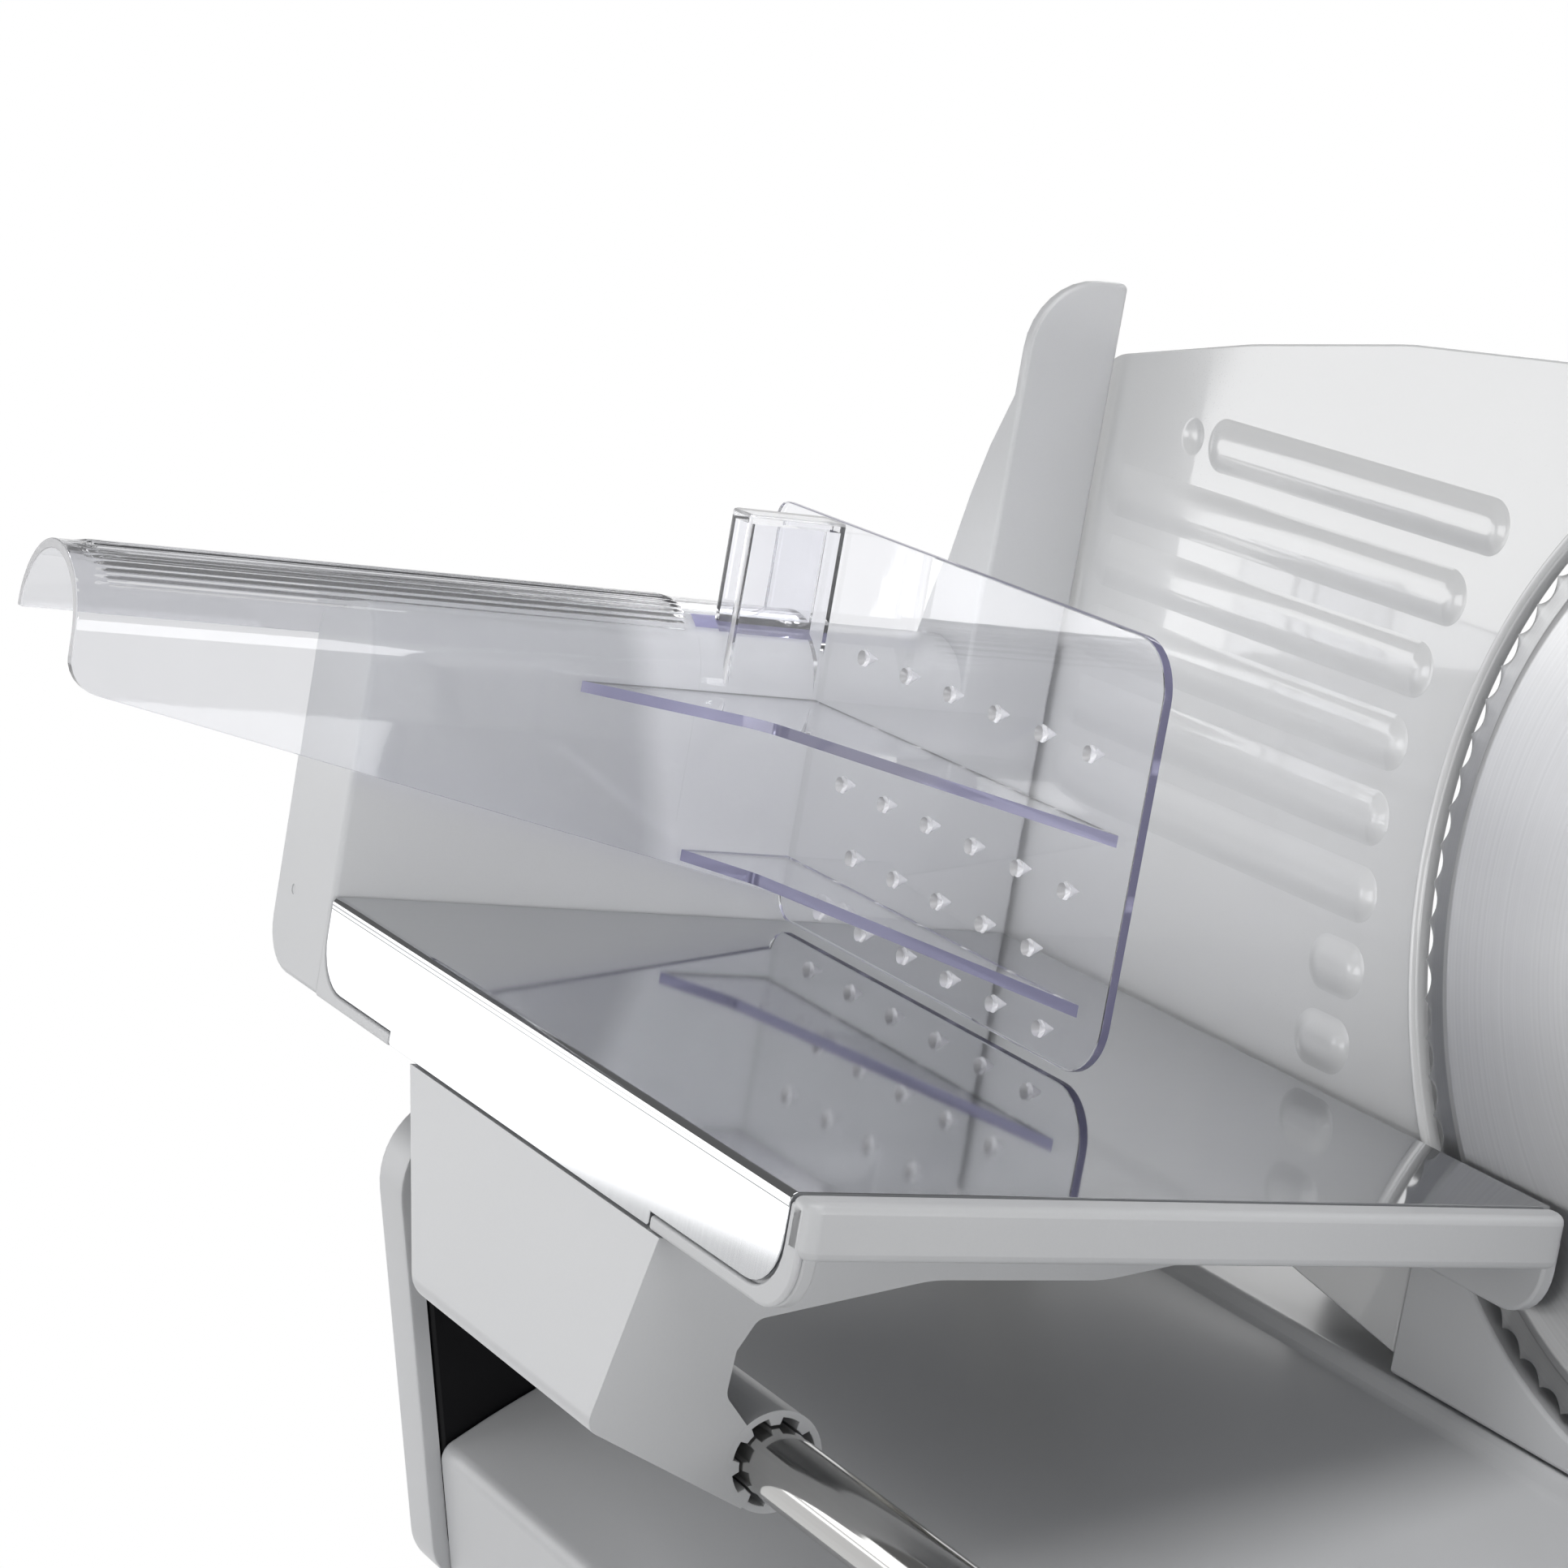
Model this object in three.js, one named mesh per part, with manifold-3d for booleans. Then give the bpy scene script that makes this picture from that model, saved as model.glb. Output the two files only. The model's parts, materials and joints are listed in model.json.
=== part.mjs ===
// Electric food slicer. A tray carriage runs on one round rail past a scalloped blade; tray and blade lean by one tilt.
import * as THREE from 'three';
import { mergeVertices } from 'three/addons/utils/BufferGeometryUtils.js';
import Module from 'manifold-3d';

const wasm = await Module();
wasm.setup();

// Driving dimensions, in millimetres and degrees. x runs along the feed, y along the carriage stroke, z up.
const GAP = 0.3;
const TILT = 15;
const TRAY_HEIGHT = 144;
const TRAY_WIDTH = 160;
const TRAY_DEPTH = 190.4;
const SHEET = 1;
const FRAME_DROP = 21;
const FRAME_WALL = 3;
const DECK = 2.5;
const BAR_DEPTH = 7;
const BAR_HEIGHT = 10;
const FLANGE_DROP = 18;
const FENCE_THICK = 27.6;
const FENCE_RISE = 47.9;
const FENCE_WALL = 2.5;
const FIN_LENGTH = 22;
const FIN_TOP = 142.4;

const BLADE_RADIUS = 95;
const BLADE_Y = -38.8;
const BLADE_DIP = 41;
const BLADE_OFFSET = 4;
const SCALLOPS = 80;
const SCALLOP_DEPTH = 1.8;
const BLADE_CLEARANCE = 1.5;

const PLATE_THICK = 3;
const PLATE_TRAVEL = 15;
const PLATE_BOTTOM = -42;
const RIB_RISE = 0.8;

const PUSHER_WALL = 2;
const PUSHER_X = 101.3;
const PUSHER_TOP = 85.5;
const POST_WIDTH = 22.7;
const POST_DEPTH = 9.6;
const HANDLE_LEFT = -63;
const SPIKE = 3;

const RAIL_RADIUS = 6.6;
const RAIL_X = 31;
const RAIL_Z = -62.5;
const SLEEVE_RADIUS = 9.7;
const ARM_FRONT = 40;

const BASE_FRONT = -138;
const BASE_REAR = 154;
const BASE_LEFT = -3;
const BASE_MARGIN = 13.35;
const BASE_WALL = 3;
const DECK_HEIGHT = 55;
const DECK_DROP = 16.7;
const DECK_RUN = 90;
const FOOT_HEIGHT = 6;
const BASE_PLATE = 2.7;
const CAP_DEPTH = 12;
const CAP_WIDTH = 52;
const CAP_TOP = 108;

const HOUSING_FRONT = -112;
const HOUSING_REAR = 25;
const HOUSING_TOP = 100;
const BOX_REAR = 92;
const BOX_TOP = 17;
const HOUSING_DEPTH = 100;
const HOUSING_WALL = 3;
const HOUSING_SEAT = -45.5;
const CASE_THICK = 3.7;
const COVER_DEPTH = 8;

const TOOTH = 1.25;
const PINION_TEETH = 14;
const WHEEL_TEETH = 56;
const IDLER_ANGLE = -60;
const MOTOR_ANGLE = 200;
const SHAFT_RADIUS = 5;
const MOTOR_SIDE = 60;
const CORE_LENGTH = 42;

const CAM_OFFSET = 42;
const CAM_Z = -15;
const CAM_START = 22;
const CAM_TURN = 300;
const KNOB_RADIUS = 20;

// Sizes that follow from the driving dimensions.
const deckTop = -SHEET - GAP;
const fenceFront = TRAY_DEPTH + 2 * GAP;
const fenceRadius = FENCE_THICK / 2;
const fenceMid = fenceFront + fenceRadius;
const fenceBack = fenceFront + FENCE_THICK;
const finRight = TRAY_WIDTH + 1.5;
const finLeft = finRight - FIN_LENGTH;
const bladeX = TRAY_WIDTH + BLADE_OFFSET;
const bladeZ = BLADE_RADIUS - BLADE_DIP;
const rimRadius = BLADE_RADIUS + BLADE_CLEARANCE;
const plateFace = bladeX - 0.8;
const plateBack = plateFace + PLATE_THICK;
const guardFace = TRAY_WIDTH + 2.5;
const carrierFlange = 2.5;
const caseLeft = plateBack + GAP + carrierFlange + GAP + 1.5 + PLATE_TRAVEL + 0.5;
const caseRight = caseLeft + CASE_THICK;
const camX = caseRight + CAM_OFFSET;
const housingLeft = caseRight + GAP;
const housingRight = housingLeft + HOUSING_DEPTH;
const coverRight = housingRight + GAP + COVER_DEPTH;
const gearSpread = (TOOTH * (PINION_TEETH + WHEEL_TEETH)) / 2;
const wheelTip = (TOOTH * WHEEL_TEETH) / 2 + 0.85 * TOOTH;
const coverRadius = gearSpread + wheelTip + 3.2;
const turn = Math.PI / 180;
const idlerY = BLADE_Y + gearSpread * Math.cos(IDLER_ANGLE * turn);
const idlerZ = bladeZ + gearSpread * Math.sin(IDLER_ANGLE * turn);
const motorY = idlerY + gearSpread * Math.cos(MOTOR_ANGLE * turn);
const motorZ = idlerZ + gearSpread * Math.sin(MOTOR_ANGLE * turn);
const tiltCos = Math.cos(TILT * turn);
const tiltSin = Math.sin(TILT * turn);
const railX = RAIL_X * tiltCos + RAIL_Z * tiltSin;
const railZ = TRAY_HEIGHT - RAIL_X * tiltSin + RAIL_Z * tiltCos;
const baseRight = coverRight * tiltCos + HOUSING_SEAT * tiltSin + BASE_MARGIN;
const handleRadius = fenceRadius + 2 * GAP - 0.2 + PUSHER_WALL;
const handleMid = FENCE_RISE + 0.1;
const sideFront = fenceMid - handleRadius;
const capLeft = BASE_LEFT - 3.2;
const capBottom = FOOT_HEIGHT + 1;

// Drawing helpers: outlines are lists of points, solids are closed meshes that can be joined and cut.
const point = (x, y) => new THREE.Vector2(x, y);

function arc(x, y, radius, from, to, steps) {
  const points = [];
  for (let i = 0; i <= steps; i += 1) {
    const angle = (from + ((to - from) * i) / steps) * turn;
    points.push(point(x + radius * Math.cos(angle), y + radius * Math.sin(angle)));
  }
  return points;
}

function circle(x, y, radius, steps) {
  return arc(x, y, radius, 0, 360, steps).slice(0, steps);
}

// Corners are [x, y] or [x, y, radius].
function rounded(corners, steps = 4) {
  const points = [];
  corners.forEach(([x, y, radius = 0], i) => {
    const here = point(x, y);
    const last = corners[(i + corners.length - 1) % corners.length];
    const next = corners[(i + 1) % corners.length];
    const back = point(last[0], last[1]).sub(here).normalize();
    const on = point(next[0], next[1]).sub(here).normalize();
    if (radius === 0) {
      points.push(here);
      return;
    }
    const half = Math.acos(THREE.MathUtils.clamp(back.dot(on), -1, 1)) / 2;
    const middle = here.clone().addScaledVector(back.clone().add(on).normalize(), radius / Math.sin(half));
    const start = here.clone().addScaledVector(back, radius / Math.tan(half)).sub(middle);
    const finish = here.clone().addScaledVector(on, radius / Math.tan(half)).sub(middle);
    let sweep = finish.angle() - start.angle();
    sweep -= Math.round(sweep / (2 * Math.PI)) * 2 * Math.PI;
    for (let k = 0; k <= steps; k += 1) {
      points.push(start.clone().rotateAround(point(0, 0), (sweep * k) / steps).add(middle));
    }
  });
  return points;
}

function solid(geometry) {
  const bare = new THREE.BufferGeometry();
  bare.setAttribute('position', geometry.getAttribute('position'));
  bare.setIndex(geometry.index);
  const merged = mergeVertices(bare);
  const vertProperties = merged.getAttribute('position').array;
  const triVerts = new Uint32Array(merged.index.array);
  return new wasm.Manifold(new wasm.Mesh({ numProp: 3, vertProperties, triVerts }));
}

const axisX = new THREE.Vector3(1, 0, 0);
const axisY = new THREE.Vector3(0, 1, 0);
const axisZ = new THREE.Vector3(0, 0, 1);

// An outline drawn in the plane across an axis, pulled along that axis from low to high.
function prism(axis, points, low, high, holes = []) {
  const shape = new THREE.Shape(points);
  shape.holes = holes.map((hole) => new THREE.Path(hole));
  const geometry = new THREE.ExtrudeGeometry(shape, { depth: high - low, bevelEnabled: false });
  const frame = new THREE.Matrix4();
  if (axis === 'x') {
    frame.makeBasis(axisY, axisZ, axisX);
    geometry.applyMatrix4(frame).translate(low, 0, 0);
  } else if (axis === 'y') {
    frame.makeBasis(axisX, axisZ, axisY.clone().negate());
    geometry.applyMatrix4(frame).translate(0, high, 0);
  } else {
    geometry.translate(0, 0, low);
  }
  return solid(geometry);
}

function box(x0, x1, y0, y1, z0, z1) {
  const geometry = new THREE.BoxGeometry(x1 - x0, y1 - y0, z1 - z0);
  geometry.translate((x0 + x1) / 2, (y0 + y1) / 2, (z0 + z1) / 2);
  return solid(geometry);
}

function rod(axis, a, b, radius, low, high, steps = 16) {
  return prism(axis, circle(a, b, radius, steps), low, high);
}

// A ring profile of [radius, height] points turned round an axis; the points run counter-clockwise.
function turned(axis, profile, steps) {
  const points = profile.map(([radius, height]) => point(radius, height));
  points.push(points[0].clone());
  const geometry = new THREE.LatheGeometry(points, steps);
  if (axis === 'x') {
    geometry.rotateZ(-Math.PI / 2);
  } else if (axis === 'z') {
    geometry.rotateX(Math.PI / 2);
  }
  return solid(geometry);
}

function joined(list) {
  return list.reduce((whole, piece) => whole.add(piece));
}

function without(whole, cuts) {
  return cuts.reduce((rest, cut) => rest.subtract(cut), whole);
}

const slicer = new THREE.Group();
slicer.name = 'food_slicer';
const level = new THREE.Group();
level.name = 'level_parts';
const tilted = new THREE.Group();
tilted.name = 'tilted_parts';
tilted.position.z = TRAY_HEIGHT;
tilted.rotation.y = TILT * turn;
slicer.add(level, tilted);

function add(group, name, shape, colour, metalness, roughness) {
  const data = shape.getMesh();
  const geometry = new THREE.BufferGeometry();
  geometry.setAttribute('position', new THREE.BufferAttribute(data.vertProperties, 3));
  geometry.setIndex(new THREE.BufferAttribute(data.triVerts, 1));
  geometry.computeVertexNormals();
  const material = new THREE.MeshStandardMaterial({ color: colour, metalness, roughness });
  const mesh = new THREE.Mesh(geometry, material);
  mesh.name = name;
  group.add(mesh);
  return mesh;
}

const grey = (group, name, shape) => add(group, name, shape, 0xb9bbbe, 0.1, 0.4);
const black = (group, name, shape) => add(group, name, shape, 0x121214, 0, 0.5);
const steel = (group, name, shape) => add(group, name, shape, 0xc4c6c8, 1, 0.3);
const nylon = (group, name, shape) => add(group, name, shape, 0xe8e6dc, 0, 0.5);

// Tray plate: polished sheet with its left edge turned down and a tab in the middle of that flange.
const tabFront = TRAY_DEPTH * 0.235;
const tabRear = TRAY_DEPTH * 0.817;
const tabDrop = FRAME_DROP - 0.4;
const flangeCorner = FLANGE_DROP * 0.55;
function flangeOutline(grow, drop) {
  return rounded([
    [-grow, 0.5],
    [-grow, -FLANGE_DROP - grow, flangeCorner],
    [tabFront - grow, -FLANGE_DROP - grow],
    [tabFront - grow, -drop],
    [tabRear + grow, -drop],
    [tabRear + grow, -FLANGE_DROP - grow],
    [TRAY_DEPTH + grow, -FLANGE_DROP - grow, flangeCorner],
    [TRAY_DEPTH + grow, 0.5],
  ]);
}
const flange = prism('x', flangeOutline(0, tabDrop), 0, SHEET).subtract(box(-1, 2, -9, TRAY_DEPTH + 9, -SHEET / 2, 9));
steel(tilted, 'tray_plate', box(0, TRAY_WIDTH, 0, TRAY_DEPTH, -SHEET, 0).add(flange));

// Carriage frame: tray pan, front bar, hollow fence with a half-round top, thumb guard fin.
const barFront = -BAR_DEPTH;
const barProfile = rounded([
  [-GAP, 0],
  [barFront, 0, 3],
  [barFront, -BAR_HEIGHT, 1.5],
  [-GAP, -BAR_HEIGHT],
]);
const barPlan = rounded([
  [0, barFront, 3],
  [TRAY_WIDTH, barFront, 4],
  [TRAY_WIDTH, 0],
  [0, 0],
]);
const bar = prism('x', barProfile, 0, TRAY_WIDTH).intersect(prism('z', barPlan, -FRAME_DROP, 1));
const sideWall = rounded([
  [barFront + 2, -BAR_HEIGHT + 1],
  [barFront + 2, -FRAME_DROP, 10],
  [fenceFront + 1, -FRAME_DROP],
  [fenceFront + 1, deckTop],
  [-1, deckTop],
  [-1, -BAR_HEIGHT + 1],
]);
function fenceProfile(inset, bottom, corner) {
  const radius = fenceRadius - inset;
  const top = arc(fenceMid, FENCE_RISE, radius, 0, 180, 12);
  const foot = rounded([
    [fenceMid - radius, FENCE_RISE],
    [fenceMid - radius, bottom],
    [fenceMid + radius, bottom, corner],
    [fenceMid + radius, FENCE_RISE],
  ]);
  return foot.slice(1, -1).concat(top);
}
const fence = prism('x', fenceProfile(0, -FRAME_DROP, 10), 0, finRight);
const fenceHollow = prism('x', fenceProfile(FENCE_WALL, -FRAME_DROP - 9, 0), FENCE_WALL, finRight - FENCE_WALL);
const finFront = rounded([
  [finLeft, FENCE_RISE],
  [finRight, FENCE_RISE],
  [finRight, FIN_TOP],
  [finLeft, FIN_TOP - 1, 16],
]);
const finSide = [
  point(fenceFront, FENCE_RISE),
  point(fenceBack - 1, FENCE_RISE),
  point(fenceBack - 5.3, FENCE_RISE + 15),
  point(fenceBack - 10, FENCE_RISE + 29),
  point(fenceBack - 14.5, FENCE_RISE + 45),
  point(fenceBack - 18.7, FENCE_RISE + 56),
  point(fenceFront + FRAME_WALL, FENCE_RISE + 68),
  point(fenceFront, FENCE_RISE + 70),
];
const glideLeft = TRAY_WIDTH - 32;
const glideRight = glideLeft + 14;
const glideRear = BASE_REAR - 8;
const glideFront = glideRear - 16;
const glideMid = [(glideLeft + glideRight) / 2, (glideFront + glideRear) / 2];
const pegRadius = 4;
const armScrews = [
  [14, ARM_FRONT + 14],
  [38, ARM_FRONT + 66],
];
const frame = joined([
  box(0, TRAY_WIDTH, -BAR_DEPTH / 2, fenceFront + 1, deckTop - DECK, deckTop),
  prism('x', sideWall, 0, FRAME_WALL + SHEET + GAP),
  prism('x', sideWall, TRAY_WIDTH - FRAME_WALL, TRAY_WIDTH),
  bar,
  fence.subtract(fenceHollow),
  prism('y', finFront, fenceFront, fenceFront + FRAME_WALL),
  prism('x', finSide, finLeft, finLeft + FRAME_WALL),
]);
const armScrewHoles = armScrews.map(([x, y]) => rod('z', x, y, 1.5 + GAP, -FRAME_DROP, 0, 8));
const frameCuts = [...armScrewHoles];
frameCuts.push(rod('z', ...glideMid, pegRadius + GAP, -FRAME_DROP, 0));
frameCuts.push(prism('x', flangeOutline(GAP, FRAME_DROP + 1), -1, SHEET + GAP));
frameCuts.push(box(-1, TRAY_WIDTH + 1, -GAP, TRAY_DEPTH + GAP, deckTop, 1));
frameCuts.push(fenceHollow);
grey(tilted, 'carriage_frame', without(frame, frameCuts));

// Carriage arm: moulding below the frame that carries the rail sleeve.
const armTop = -FRAME_DROP - GAP;
const flangeTop = deckTop - DECK - GAP;
const armInner = FRAME_WALL + SHEET + 2 * GAP;
const armSkin = 3;
const armLow = RAIL_Z - SLEEVE_RADIUS + 1;
const armPanel = rounded([
  [0, armTop],
  [-8, armTop - 34.7, 3],
  [RAIL_X - 5, armLow],
  [RAIL_X - 4, armLow + 3],
  [-4.6, armTop - 33, 2],
  [armSkin + 0.1, armTop],
]);
const armWall = rounded([
  [0, armTop],
  [-8, armTop - 34.7, 3],
  [RAIL_X - 5, armLow],
  [RAIL_X, RAIL_Z],
  [RAIL_X - 7, RAIL_Z + 7.1],
  [18.9, armTop - 28.8, 3],
  [19.4, armTop - 20.5],
  [22.7, armTop - 14.6, 3],
  [57.3, armTop - 7.2],
  [94.1, armTop - 7],
  [TRAY_WIDTH - 20, armTop + 2.3],
  [TRAY_WIDTH - 20, flangeTop],
  [armInner, flangeTop],
  [armInner, armTop],
]);
const sleeveBack = ARM_FRONT + 88;
const sleeveBore = [];
for (let i = 0; i < 8; i += 1) {
  const start = i * 45;
  sleeveBore.push(...arc(RAIL_X, RAIL_Z, RAIL_RADIUS + GAP, start, start + 15, 2));
  sleeveBore.push(...arc(RAIL_X, RAIL_Z, SLEEVE_RADIUS - 1.4, start + 19, start + 41, 2));
}
const sleeveRing = circle(RAIL_X, RAIL_Z, SLEEVE_RADIUS, 32);
const armBackCut = [
  point(ARM_FRONT + 105, armTop + 1),
  point(ARM_FRONT + 72, armTop - 36),
  point(ARM_FRONT + 72, armTop - 60),
  point(ARM_FRONT + 200, armTop - 60),
  point(ARM_FRONT + 200, armTop + 1),
];
const arm = joined([
  prism('y', armPanel, ARM_FRONT, ARM_FRONT + 105).subtract(prism('x', armBackCut, -60, 90)),
  prism('y', armWall, ARM_FRONT, ARM_FRONT + armSkin),
  box(armInner, 46, ARM_FRONT + 1, ARM_FRONT + 78, flangeTop - armSkin, flangeTop),
  box(armInner, armInner + armSkin, ARM_FRONT + 1, ARM_FRONT + 90, armTop - 6, flangeTop),
  box(1, armInner + armSkin, ARM_FRONT + 1, ARM_FRONT + 90, armTop - 6, armTop - 3),
]);
const armCuts = [...armScrewHoles];
armCuts.push(rod('y', RAIL_X, RAIL_Z, SLEEVE_RADIUS - 0.5, ARM_FRONT - 9, ARM_FRONT + 200));
const sleeve = prism('y', sleeveRing, ARM_FRONT - 0.8, sleeveBack, [sleeveBore]);
grey(tilted, 'carriage_arm', without(arm, armCuts).add(sleeve));

// Carriage glide: a leg under the far right corner of the tray that runs on the base deck.
function deckLine(x) {
  return (DECK_HEIGHT + GAP - TRAY_HEIGHT + x * tiltSin) / tiltCos;
}
const glideLeg = [
  point(glideLeft, flangeTop),
  point(glideRight, flangeTop),
  point(glideRight, deckLine(glideRight)),
  point(glideLeft, deckLine(glideLeft)),
];
const glideFlange = box(glideLeft - 12, glideRight + 12, glideFront, glideRear, flangeTop - armSkin, flangeTop);
const glidePeg = rod('z', ...glideMid, pegRadius, flangeTop - 1, deckTop - GAP);
nylon(tilted, 'carriage_glide', joined([prism('y', glideLeg, glideFront, glideRear), glideFlange, glidePeg]));
const screwHead = flangeTop - armSkin - GAP;
armScrews.forEach(([x, y], i) => {
  const head = rod('z', x, y, 3, screwHead - 1.7, screwHead, 8);
  steel(tilted, `arm_screw_${i + 1}`, head.add(rod('z', x, y, 1.5, screwHead - 0.5, deckTop - GAP, 8)));
});

// Food pusher: one clear moulding that straddles the fence.
const pusherBack = fenceMid + handleRadius;
const pusherFace = PUSHER_X + PUSHER_WALL;
const channelInner = handleRadius - PUSHER_WALL;
const channel = arc(fenceMid, handleMid, handleRadius, 0, 180, 14).concat(
  arc(fenceMid, handleMid, channelInner, 180, 0, 14),
);
const postLeft = PUSHER_X - POST_WIDTH;
const postBack = sideFront + POST_DEPTH;
const postOuter = rounded([
  [PUSHER_X + 1, postBack],
  [postLeft, postBack, 2.5],
  [postLeft, sideFront, 1],
  [PUSHER_X + 1, sideFront],
], 3);
const postInner = [
  point(PUSHER_X, postBack - PUSHER_WALL),
  point(postLeft + PUSHER_WALL, postBack - PUSHER_WALL),
  point(postLeft + PUSHER_WALL, sideFront + PUSHER_WALL),
  point(PUSHER_X, sideFront + PUSHER_WALL),
];
const sidePlate = rounded([
  [HANDLE_LEFT, handleMid],
  [HANDLE_LEFT, 38.4, 6],
  [PUSHER_X + 1, 5.8],
  [PUSHER_X + 1, handleMid],
]);
const pusherRight = fenceFront - 125.5;
const frontPlate = rounded([
  [pusherRight, 1.2, 11],
  [sideFront + PUSHER_WALL, 1.2, 6],
  [sideFront + PUSHER_WALL, handleMid],
  [pusherBack - 3, handleMid],
  [pusherBack - 3, PUSHER_TOP, 4],
  [pusherRight, PUSHER_TOP, 11],
]);
const upperWeb = rounded([
  [PUSHER_X - 56, sideFront + 1],
  [PUSHER_X - 27.3, sideFront - 27.6, 20],
  [PUSHER_X + 1, pusherRight + 3.3],
  [PUSHER_X + 1, sideFront + 1],
]);
const lowerWeb = rounded([
  [PUSHER_X - 26, sideFront + 1],
  [PUSHER_X - 17.8, sideFront - 18.6, 20],
  [PUSHER_X + 1, pusherRight + 3.9],
  [PUSHER_X + 1, sideFront + 1],
]);
const spikes = [];
function spike(y, z) {
  const geometry = new THREE.ConeGeometry(1.9, SPIKE + 0.5, 8);
  geometry.rotateZ(-Math.PI / 2).translate(pusherFace + SPIKE / 2 - 0.25, y, z);
  spikes.push(solid(geometry));
}
const spikeStart = fenceFront - 17.6;
const spikePitch = 17.3;
[60.3, 33.5, 6.3].forEach((z) => {
  for (let i = 0; i < 6; i += 1) {
    spike(spikeStart - i * spikePitch, z);
  }
});
for (let i = 0; i < 5; i += 1) {
  spike(spikeStart - (i + 0.5) * spikePitch, 20);
}
const pusher = joined([
  prism('x', channel, HANDLE_LEFT, PUSHER_X + 1),
  prism('y', sidePlate, sideFront, sideFront + PUSHER_WALL),
  prism('x', frontPlate, PUSHER_X, pusherFace),
  prism('z', postOuter, handleMid, PUSHER_TOP),
  prism('z', upperWeb, handleMid - 2.5, handleMid),
  prism('z', lowerWeb, 12, 14.5),
  ...spikes,
]);
const pusherPassage = [point(fenceMid + channelInner, -9)]
  .concat(arc(fenceMid, handleMid, channelInner, 0, 180, 14))
  .concat([point(fenceMid - channelInner, -9)]);
const pusherCuts = [
  prism('z', postInner, -9, PUSHER_TOP - PUSHER_WALL),
  prism('x', pusherPassage, HANDLE_LEFT - 9, pusherFace + 9),
];
add(tilted, 'food_pusher', without(pusher, pusherCuts), 0xa9aed2, 0, 0.1);

// Thickness plate: ribbed plate with a concave rim round the blade, and its carrier behind it.
const plateFront = HOUSING_REAR + 14;
const rimLow = (Math.asin((plateFront - BLADE_Y) / rimRadius) / turn) - 90;
const rimHigh = 61;
const plateRear = fenceFront + 9;
const plateTip = BLADE_Y + rimRadius * Math.cos(rimHigh * turn) + 1;
const plateTop = bladeZ + rimRadius;
const plateOutline = [
  point(plateFront, PLATE_BOTTOM),
  ...rounded([
    [plateRear, PLATE_BOTTOM, 12],
    [plateRear, plateTop - 24.5, 12],
    [plateRear - 54, plateTop - 13.8],
    [plateRear - 106, plateTop - 5.9],
    [plateRear - 154, plateTop - 1.9],
    [plateTip, plateTop - 0.5, 4],
  ], 3),
  ...arc(BLADE_Y, bladeZ, rimRadius, rimHigh, rimLow, 40),
];
function rib(rearEnd, frontEnd, z) {
  const stadium = arc(frontEnd + 4, z, 4, 90, 270, 6).concat(arc(rearEnd - 4, z, 4, 270, 450, 6));
  return prism('x', stadium, plateFace - RIB_RISE, plateFace + 1);
}
const ribPitch = 15.26;
const ribStart = rimRadius + 14;
const ribRear = plateRear - 12;
const dimpleY = plateRear - 39.8;
const plateRibs = [];
for (let i = 4; i >= -1; i -= 1) {
  const rise = i * ribPitch;
  const rear = i === 4 ? dimpleY - 6 : ribRear;
  plateRibs.push(rib(rear, BLADE_Y + Math.sqrt(ribStart ** 2 - rise ** 2), bladeZ + rise));
}
const shortRib = BLADE_Y + ribStart - 1.7;
[-2, -3].forEach((i) => plateRibs.push(rib(shortRib + 18, shortRib, bladeZ + i * ribPitch)));
const carrierY = [41, 80];
const carrierZ = [PLATE_BOTTOM + 4, -10];
const plateScrews = [
  [carrierY[1] - 6, carrierZ[0] + 7],
  [carrierY[1] - 6, carrierZ[1] - 7],
];
const plateScrewCuts = plateScrews.map(([y, z]) => rod('x', y, z, 1.5 + GAP, plateFace + 1, caseRight, 8));
plateScrewCuts.push(rod('x', dimpleY, bladeZ + 4 * ribPitch, 4.5, plateFace - 9, plateFace + 0.8, 16));
const plateBody = prism('x', plateOutline, plateFace, plateBack);
add(tilted, 'thickness_plate', without(joined([plateBody, ...plateRibs]), plateScrewCuts), 0xbfc1c4, 0.6, 0.35);

const flangeX = plateBack + GAP;
const crossLeft = caseRight + 9;
const crossRight = crossLeft + 18;
const crossY = [37, 73];
const crossZ = [CAM_Z - 21, CAM_Z + 7];
const armY = [47, 63];
const armZ = [carrierZ[0] + 2, carrierZ[1] - 2];
const rodY = [44.5, 65.5];
const rodZ = CAM_Z - 10;
const rodRadius = 4;
const pinX = camX - CAM_START;
const pinRadius = 2.5;
const camFront = crossY[1] + 2;
const camBack = camFront + 6;
const carrierFlangePlate = box(flangeX, flangeX + carrierFlange, carrierY[0], carrierY[1], carrierZ[0], carrierZ[1]);
const carrier = joined([
  carrierFlangePlate,
  box(flangeX, crossLeft + 1, armY[0], armY[1], armZ[0], armZ[1]),
  box(crossLeft, crossRight, crossY[0], crossY[1], crossZ[0], crossZ[1]),
  rod('y', pinX, CAM_Z, pinRadius, crossY[1] - 1, camBack - 2, 16),
]);
const carrierCuts = rodY.map((y) => rod('x', y, rodZ, rodRadius + GAP, caseLeft - PLATE_TRAVEL, crossRight + 9));
nylon(tilted, 'plate_carrier', without(carrier, carrierCuts.concat(plateScrewCuts.slice(0, plateScrews.length))));
plateScrews.forEach(([y, z], i) => {
  const head = flangeX + carrierFlange + GAP;
  const shank = rod('x', y, z, 1.5, plateFace + 1 + GAP, head + 0.5, 8);
  steel(tilted, `plate_screw_${i + 1}`, rod('x', y, z, 3, head, head + 1.5, 8).add(shank));
});

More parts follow.
